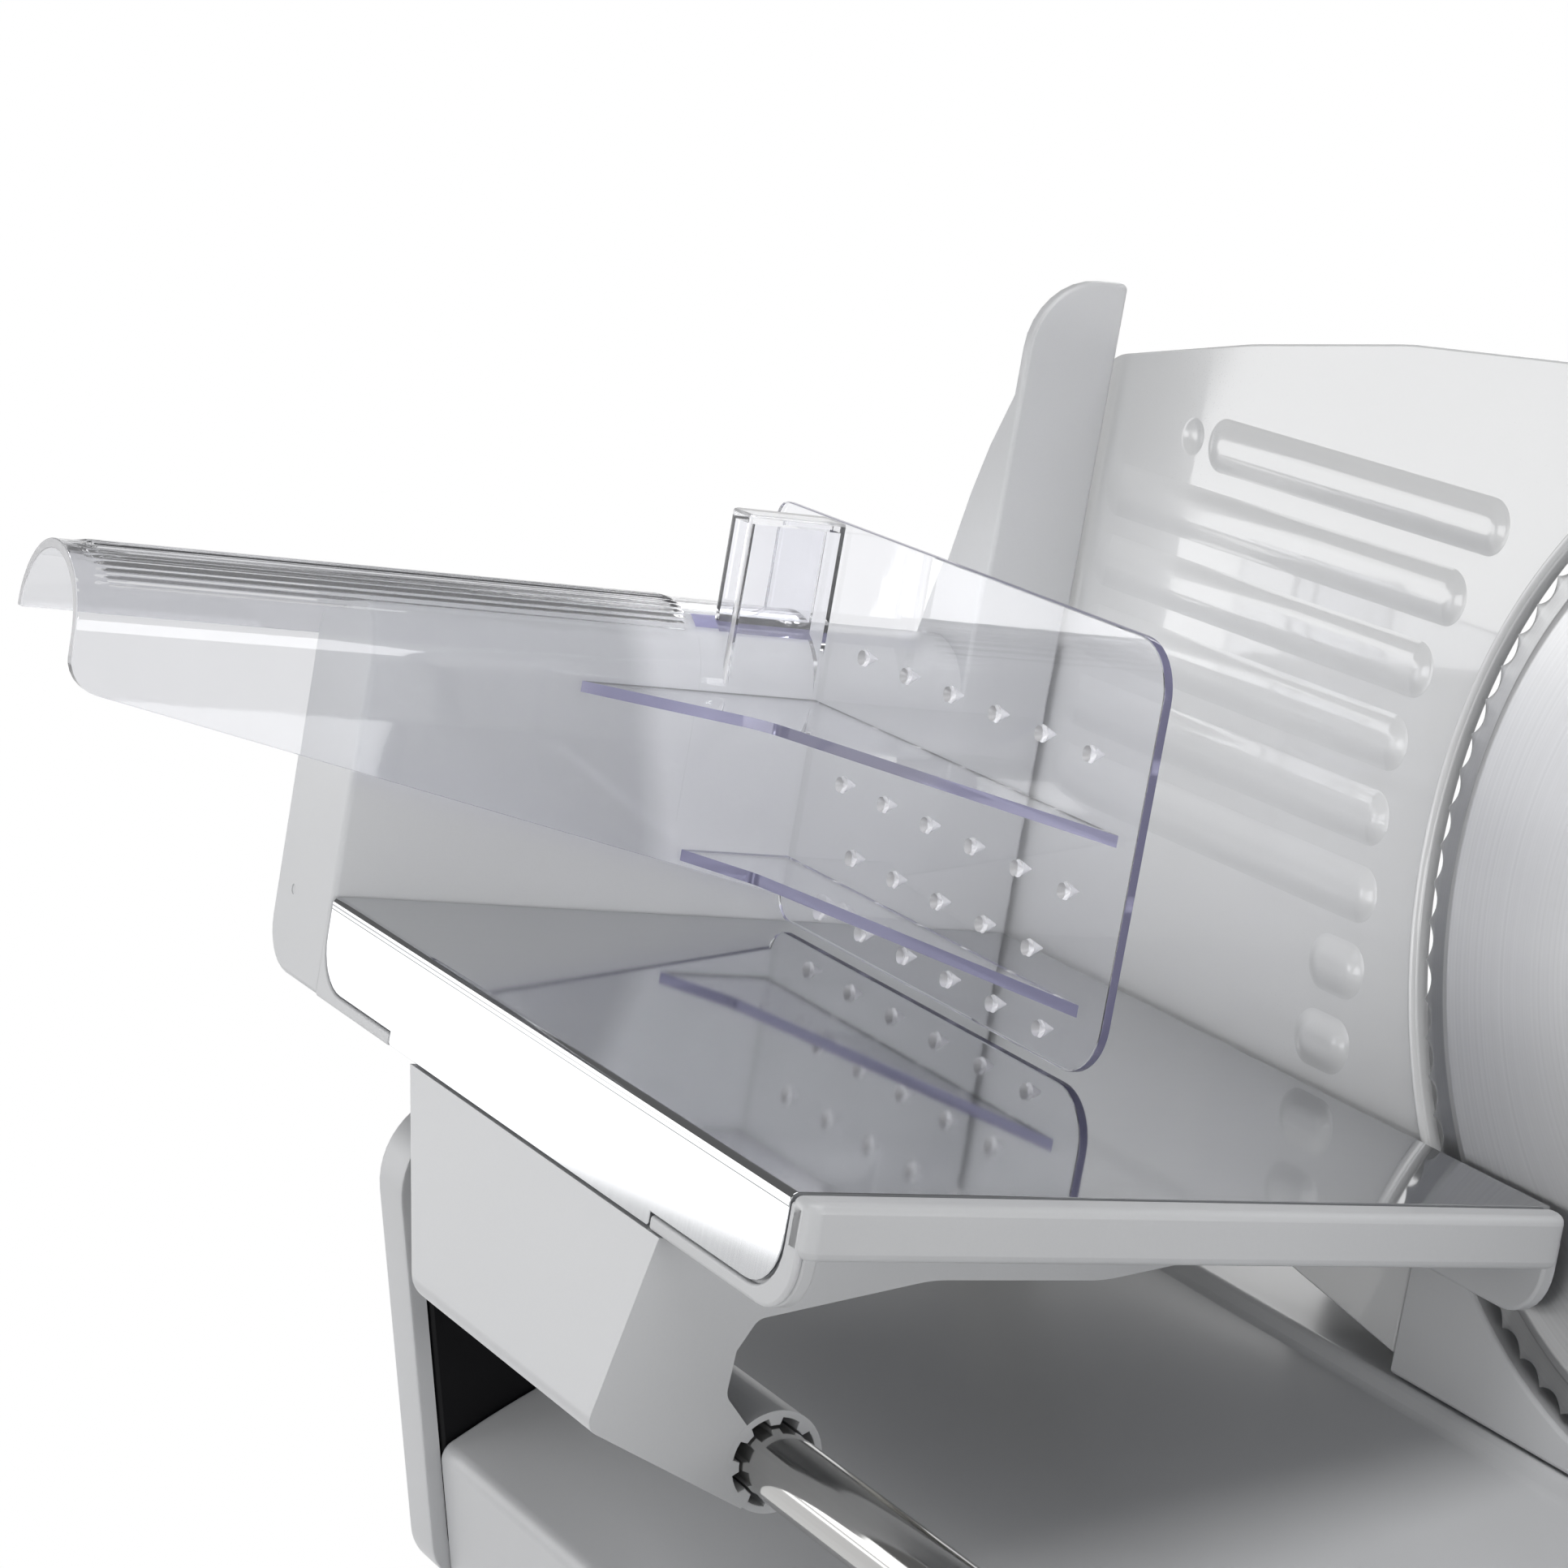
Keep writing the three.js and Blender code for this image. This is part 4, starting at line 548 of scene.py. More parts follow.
# %% Backdrop
AMBIENT, CEILING_FROM, CEILING_DARK = 0.14, 0.1, 0.95
world = bpy.data.worlds.new("studio")
scene.world = world
world.use_nodes = True
tree = world.node_tree
sky = tree.nodes["Background"]
sky.inputs["Color"].default_value = (1, 1, 1, 1)
way = Signal(tree, tree.nodes.new("ShaderNodeTexCoord").outputs["Generated"])
height = way.node("ShaderNodeSeparateXYZ", output=2, Vector=way)
mirrored = Signal(tree, tree.nodes.new("ShaderNodeLightPath").outputs["Is Glossy Ray"])
ceiling = ((height - CEILING_FROM) * 5).clamp(0, CEILING_DARK) * mirrored
power = (seen_directly(tree) - ceiling) * (1 - AMBIENT) + AMBIENT
tree.links.new(power.socket, sky.inputs["Strength"])
print("backdrop made")

# %% [markdown]
# ## Tray plate
# The tray is polished sheet with its left edge bent down. A plane could be folded and given thickness; here the section
# of the bend is drawn, because the radii of bent sheet differ by its thickness. The flange below has round lower
# corners and a longer tab in the middle that hooks under the frame.

# %% Tray plate
TRAY_WIDE, TRAY_DEEP, SHEET, BEND = 160, 190.4, 1, 1.6
FLANGE_LOW, TAB_LOW, TAB_FRONT, TAB_REAR = -18, -20.6, 44.7, 155.6
bend = arc(BEND, -BEND, BEND, 90, 180, 6) + [(0, -2.5), (SHEET, -2.5)] + arc(BEND, -BEND, BEND - SHEET, 180, 90, 6)
bm = solid("y", [(TRAY_WIDE, -SHEET), (TRAY_WIDE, 0)] + bend, 0, TRAY_DEEP)
front = [(0, -2.4), (0, FLANGE_LOW, 9.9), (TAB_FRONT, FLANGE_LOW), (TAB_FRONT, TAB_LOW, 0.8)]
rear = [(TAB_REAR, TAB_LOW, 0.8), (TAB_REAR, FLANGE_LOW), (TRAY_DEEP, FLANGE_LOW, 9.9), (TRAY_DEEP, -2.4)]
slab(bm, "x", rounded(front + rear), 0, SHEET)
piece("tray_sheet", bm, "carriage", "tray_plate", "polished_steel", bevel=0.15, segments=2, angle=60)

# %% [markdown]
# ## Fence
# The fence behind the tray is a hollow moulding, open below, with a half-round top. A surface given thickness by
# Solidify would do, but a solid with its inside cut out keeps the ends closed and the wall even. A shallow round mark
# on its left end is where a pin pushed it out of the mould.

# %% Fence
FENCE_Y, FENCE_Z, FENCE_R, FENCE_WALL = 204.8, 47.9, 13.8, 2.5
FRAME_RIGHT, FRAME_LOW = 161.5, -21


def fence_outline(inset, bottom):
    r = FENCE_R - inset
    near, far = FENCE_Y - r, FENCE_Y + r
    foot = rounded([(near, FENCE_Z), (near, bottom), (far, bottom, 10), (far, FENCE_Z)])
    return foot[1:-1] + arc(FENCE_Y, FENCE_Z, r, 0, 180, 40)


outside = solid("x", fence_outline(0, FRAME_LOW), 0, FRAME_RIGHT)
soften(outside, 1.3, 3, lambda m: m.x < 0.1 or m.x > FRAME_RIGHT - 0.1)
hollow = solid("x", fence_outline(FENCE_WALL, -45), FENCE_WALL, FRAME_RIGHT - FENCE_WALL)
mark = turned("x", 209.8, -3.6, [(0, 0.3), (1, 0.2), (1.4, -1), (0, -1)], 24)
piece("fence", outside, "carriage", "carriage_frame", cut=[hollow, mark])

# %% [markdown]
# ## Front bar and pan
# The tray lies in a pan with a thick bar along its front. On the machine bar, pan and fence are one moulding. They are
# separate pieces here, so that the bar, which hands touch, can have a larger edge radius than the thin pan.

# %% Front bar and pan
bm = solid("z", rounded([(0, -7, 3), (TRAY_WIDE, -7, 4), (TRAY_WIDE, -0.3), (0, -0.3)]), -10, 0)
piece("front_bar", bm, "carriage", None, bevel=1.6, segments=4)

PAN_FRONT, PAN_REAR, PAN_TOP, LIP_TOP = -5, 192, -1.3, -18.4
side = [(PAN_FRONT, -5), (PAN_FRONT, FRAME_LOW, 10), (PAN_REAR, FRAME_LOW), (PAN_REAR, PAN_TOP)]
side += [(-1, PAN_TOP), (-1, -5)]
front_lip = [(PAN_FRONT, PAN_TOP), (PAN_FRONT, FRAME_LOW, 10), (44.3, FRAME_LOW), (44.3, LIP_TOP)]
front_lip += [(-0.4, LIP_TOP, 9.5), (-0.4, PAN_TOP)]
rear_lip = [(156, LIP_TOP), (156, FRAME_LOW), (PAN_REAR, FRAME_LOW), (PAN_REAR, PAN_TOP)]
rear_lip += [(190.8, PAN_TOP), (190.8, LIP_TOP, 9.5)]
bm = bmesh.new()
for outline, low, high in ((side, 157, 160), (side, 1.3, 4.3), (front_lip, 0, 1.4), (rear_lip, 0, 1.4)):
    slab(bm, "x", rounded(outline), low, high)
block(bm, 4, 157.5, -3, PAN_REAR, -3.8, PAN_TOP)
piece("tray_pan", bm, "carriage", None, bevel=0.6)

# %% [markdown]
# ## Thumb fin
# An upright fin on the fence keeps fingers away from the blade, and a curved brace behind stiffens it. Both are thin
# sheets, rounded where hands meet them and joined by a boolean, so that no seam shows between them.

# %% Thumb fin
FIN_LEFT, FIN_FOOT = 139.5, 46
outline = [(FIN_LEFT, FIN_FOOT), (FRAME_RIGHT, FIN_FOOT), (FRAME_RIGHT, 142.4, 1.5), (FIN_LEFT, 141.4, 16)]
bm = soften(solid("y", rounded(outline), 190.97, 194), 0.9, 3, lambda m: m.z > FIN_FOOT + 0.5)
curve = [(192, FIN_FOOT), (217.4, FIN_FOOT), (216.6, 52), (213.3, 62.8), (208.6, 77.1), (204.1, 93)]
curve += [(199.9, 104.2), (195, 113.9), (192, 118)]
brace = soften(solid("x", curve, FIN_LEFT, 142.5), 0.8, 3, lambda m: m.y > 194.5)
piece("thumb_fin", bm, "carriage", None, add=[brace])

# %% [markdown]
# ## Carriage arm
# The arm hangs below the frame and slides on the rail. Thin leaning walls are hard to draw one by one, so it starts as
# a thick block whose left front edge is well rounded. A cavity cut from behind leaves a slanted skin and a front wall,
# and a second cut gives the slope at the back. A small flange inside carries the screws.

# %% Carriage arm
RAIL_ARM = Vector((31.0, -62.5))
ARM_FRONT, ARM_REAR = 40, 145


def off_rail(m):
    return (m.xz - RAIL_ARM).length


outline = [(0, -21.3), (-8, -56, 3), (26, -71.2)] + arc(*RAIL_ARM, 9.3, 240, 135, 16)
outline += [(24, -55.4), (18.9, -50.1, 3), (19.4, -41.8), (22.7, -35.9, 3), (57.3, -28.5, 30), (94.1, -28.3, 30)]
outline += [(140, -19), (140, -4.1), (4.6, -4.1), (4.6, -21.3)]
bm = solid("y", rounded(outline), ARM_FRONT, ARM_REAR)
soften(bm, 2.6, 5, lambda m: m.y < ARM_FRONT + 0.1 and (m.x < 0.5 or m.z < -56.5 and m.x < 25.5))
soften(bm, 0.7, 2, lambda m: m.y < ARM_FRONT + 0.1 and m.x > 18 and off_rail(m) > 9.6)
inner = [(3.1, 2), (3.1, -21.3), (-4.6, -54.3, 2), (27, -68.2), (34, -90), (200, -90), (200, 2)]
cavity = solid("y", rounded(inner), ARM_FRONT + 3, 200)
slope = solid("x", [(ARM_REAR, -21.3), (260, -21.3), (260, -160), (53.3, -121.3)], -60, 220)
piece("arm_shell", bm, "carriage", "carriage_arm", cut=[cavity, slope])

bm = block(bmesh.new(), 4.6, 46, 41, 118, -7.1, -4.1)
block(bm, 4.6, 7.6, 41, 130, -27.3, -7)
block(bm, 1, 4.7, 41, 130, -27.3, -24.3)
piece("arm_flange", bm, "carriage", None, bevel=0.5)

# %% [markdown]
# ## Rail sleeve and glide
# The arm ends in a sleeve round the rail. Eight ribs inside it bear on the rod, so its mouth looks toothed. Inner and
# outer outline have the same number of points, which lets one bridge close the ring without stray faces. A nylon leg
# at the far side carries the other half of the weight on the deck.

# %% Rail sleeve
RIBS, SLEEVE_R, RIB_R, GROOVE_R = 8, 9.7, 6.9, 8.3
ROUND_ONE_RIB = [(share, RIB_R) for share in (0, 5, 10, 15)] + [(share, GROOVE_R) for share in (18, 26, 34, 42)]


def ring(axis, outer, inner, low, high):
    bm = bmesh.new()
    edges = loop(bm, axis, outer, low)[1] + loop(bm, axis, inner, low)[1]
    pull(bm, bmesh.ops.bridge_loops(bm, edges=edges)["faces"], spot(axis, 0, 0, high - low))
    return bm


outer, inner = [], []
for i in range(RIBS):
    for share, r in ROUND_ONE_RIB:
        angle = i * 360 / RIBS + share
        outer.append(on_circle(*RAIL_ARM, SLEEVE_R, angle))
        inner.append(on_circle(*RAIL_ARM, r, angle))
bm = soften(ring("y", outer, inner, 39.96, 128), 0.3, 2, lambda m: off_rail(m) < 9 and m.y < ARM_FRONT)
piece("rail_sleeve", bm, "carriage", None)

# %% Glide
bm = solid("y", [(128, -5), (142, -5), (142, -53.95), (128, -57.7)], 130, 146)
block(bm, 116, 154, 130, 146, -7.1, -4.1)
piece("glide_leg", bm, "carriage", "carriage_glide", "nylon", bevel=0.6)

# %% [markdown]
# ## Food pusher
# The pusher is clear, so all of it must be one closed skin: inner faces would show. Handle, grip ribs and side plate
# share one section, shaped like a walking cane. It is lofted along the fence, because its lower edge slopes and its
# grip ribs fade out at both ends, which a straight pull could not do.

# %% Pusher section
HANDLE_Z, HANDLE_R, PUSHER_WALL = 48.0, 16.2, 2.0
HANDLE_LEFT, HANDLE_RIGHT, LEFT_ROUND = -63, 102.2, 6
GRIP_FROM, GRIP_TO, GRIP_PITCH, GRIP_RISE = 68, 143, 6.25, 0.4
SIDE_Y = FENCE_Y - HANDLE_R


def lower_edge(x):
    line = 38.4 + (x - HANDLE_LEFT) * (5.8 - 38.4) / 164.3
    past = x - HANDLE_LEFT - LEFT_ROUND
    return line + LEFT_ROUND - sqrt(max(0, LEFT_ROUND**2 - past**2)) if past < 0 else line


def cane(x):
    fade = max(0, min(1, (x + 58) / 2, (72 - x) / 2))
    points = [(SIDE_Y, lower_edge(x))]
    for angle in range(180, -1, -1):
        wave = sin(radians((angle - GRIP_FROM) * 180 / GRIP_PITCH)) ** 2 if GRIP_FROM < angle < GRIP_TO else 0
        points.append(on_circle(FENCE_Y, HANDLE_Z, HANDLE_R + GRIP_RISE * fade * wave, angle))
    points += arc(FENCE_Y, HANDLE_Z, HANDLE_R - PUSHER_WALL, 0, 180, 48)
    return points + [(SIDE_Y + PUSHER_WALL, lower_edge(x))]


print("the section has", len(cane(0)), "points")

# %% Pusher handle


def loft(axis, stations):
    bm, last = bmesh.new(), None
    for along, outline in stations:
        edges = loop(bm, axis, outline, along)[1]
        if last:
            bmesh.ops.bridge_loops(bm, edges=last + edges)
        last = edges
    bmesh.ops.holes_fill(bm, edges=[e for e in bm.edges if e.is_boundary])
    return bm


stations = [HANDLE_LEFT + LEFT_ROUND * (1 - cos(radians(15 * i))) for i in range(7)] + [-56, -50, 70, 72, HANDLE_RIGHT]
handle = loft("x", [(x, cane(x)) for x in sorted(stations)])
soften(handle, 0.35, 2, lambda m: m.x < HANDLE_LEFT + 0.1 and m.z > 44)
print("handle with", len(handle.verts), "points, open edges:", sum(not e.is_manifold for e in handle.edges))

# %% [markdown]
# The plate that presses on the food stands across the tray, with a hollow thumb post behind it and two webs that brace
# it. The plate is sliced into fields first, because a boolean works better on many small faces than on a huge one with
# dozens of holes.

# %% Pusher plate, post and webs
PRESS_BACK, PRESS_FACE = 101.3, 103.3
POST_LEFT, POST_FRONT, POST_REAR, POST_FOOT, POST_TOP = 78.6, 188.61, 198.2, 49, 85.3
corners = [(65.5, 1.2, 11), (190.4, 1.2, 6), (190.4, 49), (218, 49), (218, 85.5, 4), (65.5, 85.5, 11)]
plate = soften(solid("x", rounded(corners, 10), PRESS_BACK, PRESS_FACE), 0.35, 2)
cuts = [((0, 0, z), (0, 0, 1)) for z in (70, 47, 26.8, 13.2)] + [((0, y, 0), (0, 1, 0)) for y in (90, 125, 160)]
for place, facing in cuts:
    whole = plate.verts[:] + plate.edges[:] + plate.faces[:]
    bmesh.ops.bisect_plane(plate, geom=whole, plane_co=place, plane_no=facing)
corners = [(102.3, POST_REAR), (POST_LEFT, POST_REAR, 2.5), (POST_LEFT, POST_FRONT, 1), (102.3, POST_FRONT)]
post = solid("z", rounded(corners, 5), POST_FOOT, POST_TOP)
soften(post, 0.6, 3, lambda m: m.z > POST_TOP - 0.1)
room = solid("z", [(101.1, 190.62), (101.1, 196.2), (80.6, 196.2), (80.6, 190.62)], 48.6, 83.2)
high_web = solid("z", rounded([(45.3, 189.6), (74, 161, 20), (102.2, 68.8), (102.2, 189.6)], 6), 45.7, 48)
low_web = solid("z", rounded([(75.3, 189.6), (83.5, 170, 20), (102.2, 69.4), (102.2, 189.6)], 6), 12, 14.4)
print("plate in", len(plate.faces), "faces")

# %% [markdown]
# Rows of small spikes hold the food. They are cones, and smaller cones cut from behind make them hollow, which gives
# each spike its bright point. A tunnel cut along the fence clears the path of the pusher. Then everything is joined.

# %% Spikes and joining
SPIKE_ROWS = ((60.3, 6, 173.4), (33.5, 6, 173.4), (20, 5, 164.7), (6.3, 6, 173.4))
SPIKE_PITCH, TUNNEL_R = 17.3, 14.25


def cone(bm, x, y, z, foot, tip, depth):
    place = Matrix.Translation((x, y, z)) @ Matrix.Rotation(radians(90), 4, "Y")
    bmesh.ops.create_cone(bm, cap_ends=True, segments=20, radius1=foot, radius2=tip, depth=depth, matrix=place)


spikes, pits = bmesh.new(), bmesh.new()
for z, count, rear in SPIKE_ROWS:
    for i in range(count):
        cone(spikes, 104.7, rear - i * SPIKE_PITCH, z, foot=1.9, tip=0.2, depth=3.2)
        cone(pits, 102.4, rear - i * SPIKE_PITCH, z, foot=1.7, tip=0.1, depth=2.6)
arch = [(FENCE_Y + TUNNEL_R, 20)] + arc(FENCE_Y, HANDLE_Z, TUNNEL_R, 0, 180, 48) + [(FENCE_Y - TUNNEL_R, 20)]
tunnel = solid("x", arch, 74, 110)
steps = [(piece, "UNION") for piece in (post, plate, high_web, low_web, spikes)]
steps += [(piece, "DIFFERENCE") for piece in (room, tunnel, pits)]
mesh = combine("pusher", handle, steps, TILTED)
print("pusher joined from", len(steps) + 1, "solids")

# %% [markdown]
# The edges get their tinted plastic face by face: the darker violet copy, with painted shade, on rims and edges, and
# the pale copy, a painted highlight, on corners and spikes. Where a face lies and which way it looks tell a rim from a
# side. It is quicker than painting a mask and stays right when the mesh changes. The renderer gives clear plastic the
# shadow of an opaque piece, so the pusher casts none.

# %% Pusher edges
VIOLET_FACE, GLINT_FACE = 1, 2
BEHIND_PRESS = 101.2


def edge_look(x, y, z, n):
    in_post = 78 < x < BEHIND_PRESS and 187 < y < 199
    at_border = y < 66 or z < 4 or z > 84 or y < 77 and not 12 < z < 75
    rim = PRESS_BACK < x < PRESS_FACE and abs(n.x) < 0.8 and at_border
    web = abs(n.z) < 0.3 and (45.7 < z < 48 or 12 < z < 14.4) and y < 187 and x < BEHIND_PRESS
    sill = n.z < -0.6 and 188.5 < y < 190.7 and -56 < x < 101
    post_foot = in_post and 48 < z < 66 and n.z < -0.3
    post_corner = in_post and z > 50 and max(abs(n.x), abs(n.y), abs(n.z)) < 0.985
    spike = x > 101.35 and 0.3 < abs(n.x) < 0.7 and 68 < y < 187 and 3 < z < 82
    # Rims, web edges, the sill and the foot of the post get the darker violet copy: the plastic's tint with painted
    # shade.
    if rim or web or sill or post_foot:
        return VIOLET_FACE
    # The curved wall of the post, the spikes and the left end of the handle get the pale copy, a painted highlight.
    return GLINT_FACE if post_corner or spike or x < HANDLE_LEFT + 0.4 else 0


for look in (CLEAR, VIOLET, PAINTED_GLINT):
    mesh.materials.append(look)
to_tray = TILTED.inverted()
turn_back = Matrix.Rotation(-TILT, 3, "Y")
for face in mesh.polygons:
    face.material_index = edge_look(*(to_tray @ face.center), turn_back @ face.normal)
pusher = finish_piece("pusher", mesh, "pusher", "food_pusher", "clear_plastic", angle=32)
pusher.visible_shadow = False
for face in mesh.polygons:
    face.use_smooth = abs((turn_back @ face.normal).x) < 0.999

# %% [markdown]
# ## Thickness plate
# The plate that sets how thick a slice is has a round bite taken out of it for the blade, and a dimple pressed into its
# face. The outline is drawn with the bite in it, which keeps the arc exact, and the dimple is cut.

# %% Thickness plate
RIM = 96.5
FEED_FACE, FEED_BACK, FEED_FRONT = 163.2, 166.2, 39
BITE_TOP = 61
BITE_LOW = -degrees(acos((FEED_FRONT - BLADE_Y) / RIM))
edge = [(200, -42, 12), (200, 126, 12), (146, 136.7, 120), (94, 144.6, 120), (46, 148.6, 120), (9, 150, 4)]
outline = [(FEED_FRONT, -42)] + rounded(edge, 10) + arc(BLADE_Y, BLADE_Z, RIM, BITE_TOP, BITE_LOW, 72)
bm = soften(solid("x", outline, FEED_FACE, FEED_BACK), 0.5, 3)
dimple = turned("x", 160.2, 115.04, [(0, 164.4), (2, 164.2), (3.6, 163.5), (4.6, 162.9), (4.6, 160), (0, 160)])
piece("feed_plate", bm, "plate", "thickness_plate", "plate_aluminium", cut=[dimple])

# %% [markdown]
# Ribs pressed into the plate let moist food slide. A bevel would give them hard shoulders, so each rib is a round-ended
# strip that is inset step by step along a cosine and swells from the plate to a soft top. Towards the fence the ribs
# run out. The front ends of the long ones keep one distance from the blade.

# %% Plate ribs
PITCH, HALF, RISE, STEPS = 15.26, 5.6, 1.2, 10
RIB_FOOT, FROM_SHAFT = 163.17, 110.5


def swell(share):
    return 0.5 - 0.5 * cos(pi * share**0.75)


bm = bmesh.new()
spans = [(154.2 if i == 4 else 188, BLADE_Y + sqrt(FROM_SHAFT**2 - (i * PITCH) ** 2), i) for i in range(4, -2, -1)]
for rear, front, i in spans + [(88, 70, -2), (88, 70, -3)]:
    z = BLADE_Z + i * PITCH
    ends = arc(rear - HALF, z, HALF, 270, 450, 24) + arc(front + HALF, z, HALF, 90, 270, 24)
    top = slab(bm, "x", ends, 164.2, RIB_FOOT)
    for k in range(STEPS):
        lift = RISE * (swell((k + 1) / STEPS) - swell(k / STEPS))
        bmesh.ops.recalc_face_normals(bm, faces=bm.faces)
        bmesh.ops.inset_region(bm, faces=top, thickness=HALF * 0.085, depth=lift, use_even_offset=True)
for v in bm.verts:
    if v.co.x < RIB_FOOT:
        fade = max(0, min(1, (172 - v.co.y) / 26))
        v.co.x = RIB_FOOT + (v.co.x - RIB_FOOT) * (0.3 + 0.7 * fade)
piece("plate_ribs", bm, "plate", None, "plate_aluminium")

# %% [markdown]
# The edge of the bite is rolled into a lip, which stiffens the plate next to the blade. An oval section is spun round
# the shaft from one end of the bite to the other, and the two ends are filled.

# %% Plate lip
bm = bmesh.new()
start = radians(BITE_TOP)
turn = Matrix.Translation((0, BLADE_Y, BLADE_Z)) @ Matrix.Rotation(start, 4, "X")
angles = [pi * i / 8 for i in range(16)]
oval = [Vector((164.2 + 1.8 * sin(a), RIM + 1.3 + 1.2 * cos(a), 0)) for a in angles]
verts = [bm.verts.new(turn @ p) for p in oval]
edges = [bm.edges.new(pair) for pair in zip(verts, verts[1:] + verts[:1])]
sweep = {"cent": (0, BLADE_Y, BLADE_Z), "axis": (1, 0, 0), "angle": radians(BITE_LOW) - start, "steps": 72}
bmesh.ops.spin(bm, geom=verts + edges, **sweep)
bmesh.ops.holes_fill(bm, edges=[e for e in bm.edges if e.is_boundary])
piece("plate_lip", bm, "plate", None, "plate_aluminium")

# %% [markdown]
# ## Blade
# The disc is a turned piece, so its section, from the edge over the ground rim and the raised face to the screw recess
# and back, is spun. Cutting eighty scallops by booleans would be slow; instead the spin is fine, and the points on the
# edge are drawn in to shallow scallops between sharp tips.

# %% Blade
SCALLOPS, PER_SCALLOP, SCALLOP_DEEP = 80, 8, 1.9
profile = [(95, 164.05), (92.4, 163.7), (89.2, 163.55), (88.6, 163.3), (87, 162.5), (86.2, 162.4), (24.4, 162.4)]
profile += [(23.8, 162.7), (22.2, 164.8), (21.6, 165), (5.3, 165), (5.3, 166.6), (23.3, 166.6), (25.5, 164)]
profile += [(86.1, 164), (88.6, 165), (92.4, 164.6), (95, 164.2), (95, 164.05)]
bm = turned("x", BLADE_Y, BLADE_Z, profile, SCALLOPS * PER_SCALLOP)
for v in bm.verts:
    out = Vector((0, v.co.y - BLADE_Y, v.co.z - BLADE_Z))
    if out.length > 94:
        share = (degrees(atan2(out.z, out.y)) * SCALLOPS / 360) % 1
        v.co -= out.normalized() * SCALLOP_DEEP * sin(pi * share) ** 0.8
piece("cutting_disc", bm, "blade", "blade", "blade_steel", angle=25)

# %% [markdown]
# A large flat screw holds the blade on its shaft. Its head is turned, and one cut across it makes the slot for a coin.

# %% Blade screw
head = [(0, 162.7), (16.6, 162.7), (17.6, 163), (18, 163.6), (18, 164.7), (0, 164.7)]
bm = turned("x", BLADE_Y, BLADE_Z, head, 64)
slot = block(bmesh.new(), 160, 163.5, BLADE_Y - 30, BLADE_Y + 30, BLADE_Z - 1.5, BLADE_Z + 1.5)
piece("slotted_screw", bm, "blade", "blade_screw", "steel", cut=[slot])

# %% [markdown]
# ## Rail
# The carriage runs on a polished steel rod held between the end caps. A cylinder would do, but a turned profile also
# gives the chamfered ends that a rod needs to slip into its seats.

# %% Rail
ROD_R, CHAMFER, ROD_FRONT, ROD_REAR = 6.6, 0.8, -146.7, 162.7
rod = [(0, ROD_FRONT), (ROD_R - CHAMFER, ROD_FRONT), (ROD_R, ROD_FRONT + CHAMFER)]
rod += [(ROD_R, ROD_REAR - CHAMFER), (ROD_R - CHAMFER, ROD_REAR), (0, ROD_REAR)]
piece("rail_rod", turned("y", RAIL_X, RAIL_Z, rod, 64), "machine", "carriage_rail", "chrome", angle=35, matrix=LEVEL)

# %% [markdown]
# ## Base
# The base is one section pulled along the stroke: a low wall, a crowned deck that sheds crumbs, a small step and the
# leaning platform that carries the motor. The crown is an arc worked out from its width and rise. Its inside never
# shows, so the piece stays solid, closed below by a plate on four rubber feet.

# %% Base
BASE_LEFT, BASE_RIGHT, BASE_LOW, BASE_FRONT, BASE_REAR = -3, 290, 9, -138, 154
DECK_X, DECK_TOP, DECK_HALF, DECK_RISE = 87, 55, 90, 16.7
SEAT = 46


def platform(x):
    return (x * cos(TILT) - SEAT * sin(TILT), TRAY_HEIGHT - x * sin(TILT) - SEAT * cos(TILT))


crown = (DECK_HALF**2 + DECK_RISE**2) / (2 * DECK_RISE)
lean = degrees(asin(DECK_HALF / crown))
deck = [p for p in arc(DECK_X, DECK_TOP - crown, crown, 90 + lean, 90, 24) if p[0] > 5]
step = platform(FRAME_RIGHT)
section = rounded([(BASE_LEFT, BASE_LOW), (BASE_LEFT, 38.3, 4), (11, 43.2)])[:-1] + deck
section += [(step[0] - 3, DECK_TOP), step]
section += [platform((BASE_RIGHT + SEAT * sin(TILT)) / cos(TILT)), (BASE_RIGHT, BASE_LOW)]
bm = solid("y", section, BASE_FRONT, BASE_REAR)
piece("base_shell", bm, "machine", "base_housing", bevel=1.0, angle=25, matrix=LEVEL)

# %% Base plate and feet
plan = [(BASE_LEFT, BASE_FRONT, 4), (BASE_RIGHT, BASE_FRONT, 8), (BASE_RIGHT, BASE_REAR, 8), (BASE_LEFT, BASE_REAR, 4)]
piece("under_plate", solid("z", rounded(plan), 6, 8.7), "machine", "base_plate", bevel=0.6, matrix=LEVEL)
pad = [(0, 1.5), (8.6, 1.5), (9, 1.1), (9.4, 0.3), (10, 0), (12.2, 0), (13, 0.8), (13, 5), (12.4, 5.7), (0, 5.7)]
for side, x in (("left", 15), ("right", 272)):
    for end, y in (("front", -120), ("rear", 136)):
        piece(f"pad_{end}_{side}", turned("z", x, y, pad), "machine", f"foot_{end}_{side}", "rubber", matrix=LEVEL)

# %% [markdown]
# ## End caps
# A cap stands at each end of the base like a bookend and holds the rail. Each is a hollow shell with round corners, a
# black panel inside and a domed screw outside. One loop makes both, with `away` as the direction that points outwards.
# The cross in a screw is one outline shaped like a plus, because two crossing bars would overlap and upset the boolean.

# %% End caps
CAP_THICK, CAP_WALL = 12, 3.5


def cap_outline(inset):
    low, high = 10 - inset / 2, 17 - inset
    left, right, bottom, top = -6.2 + inset, 45.8 - inset, 7 + inset, 108 - inset
    return rounded([(left, bottom, low), (right, bottom, low), (right, top, high), (left, top, high)], 12)


def cross_slot(axis, u, v, reach, half, low, high):
    outline, corner = [], [(reach, -half), (reach, half), (half, half)]
    for quarter in range(4):
        outline += [(u + a, v + b) for a, b in corner]
        corner = [(-b, a) for a, b in corner]
    return solid(axis, outline, low, high)


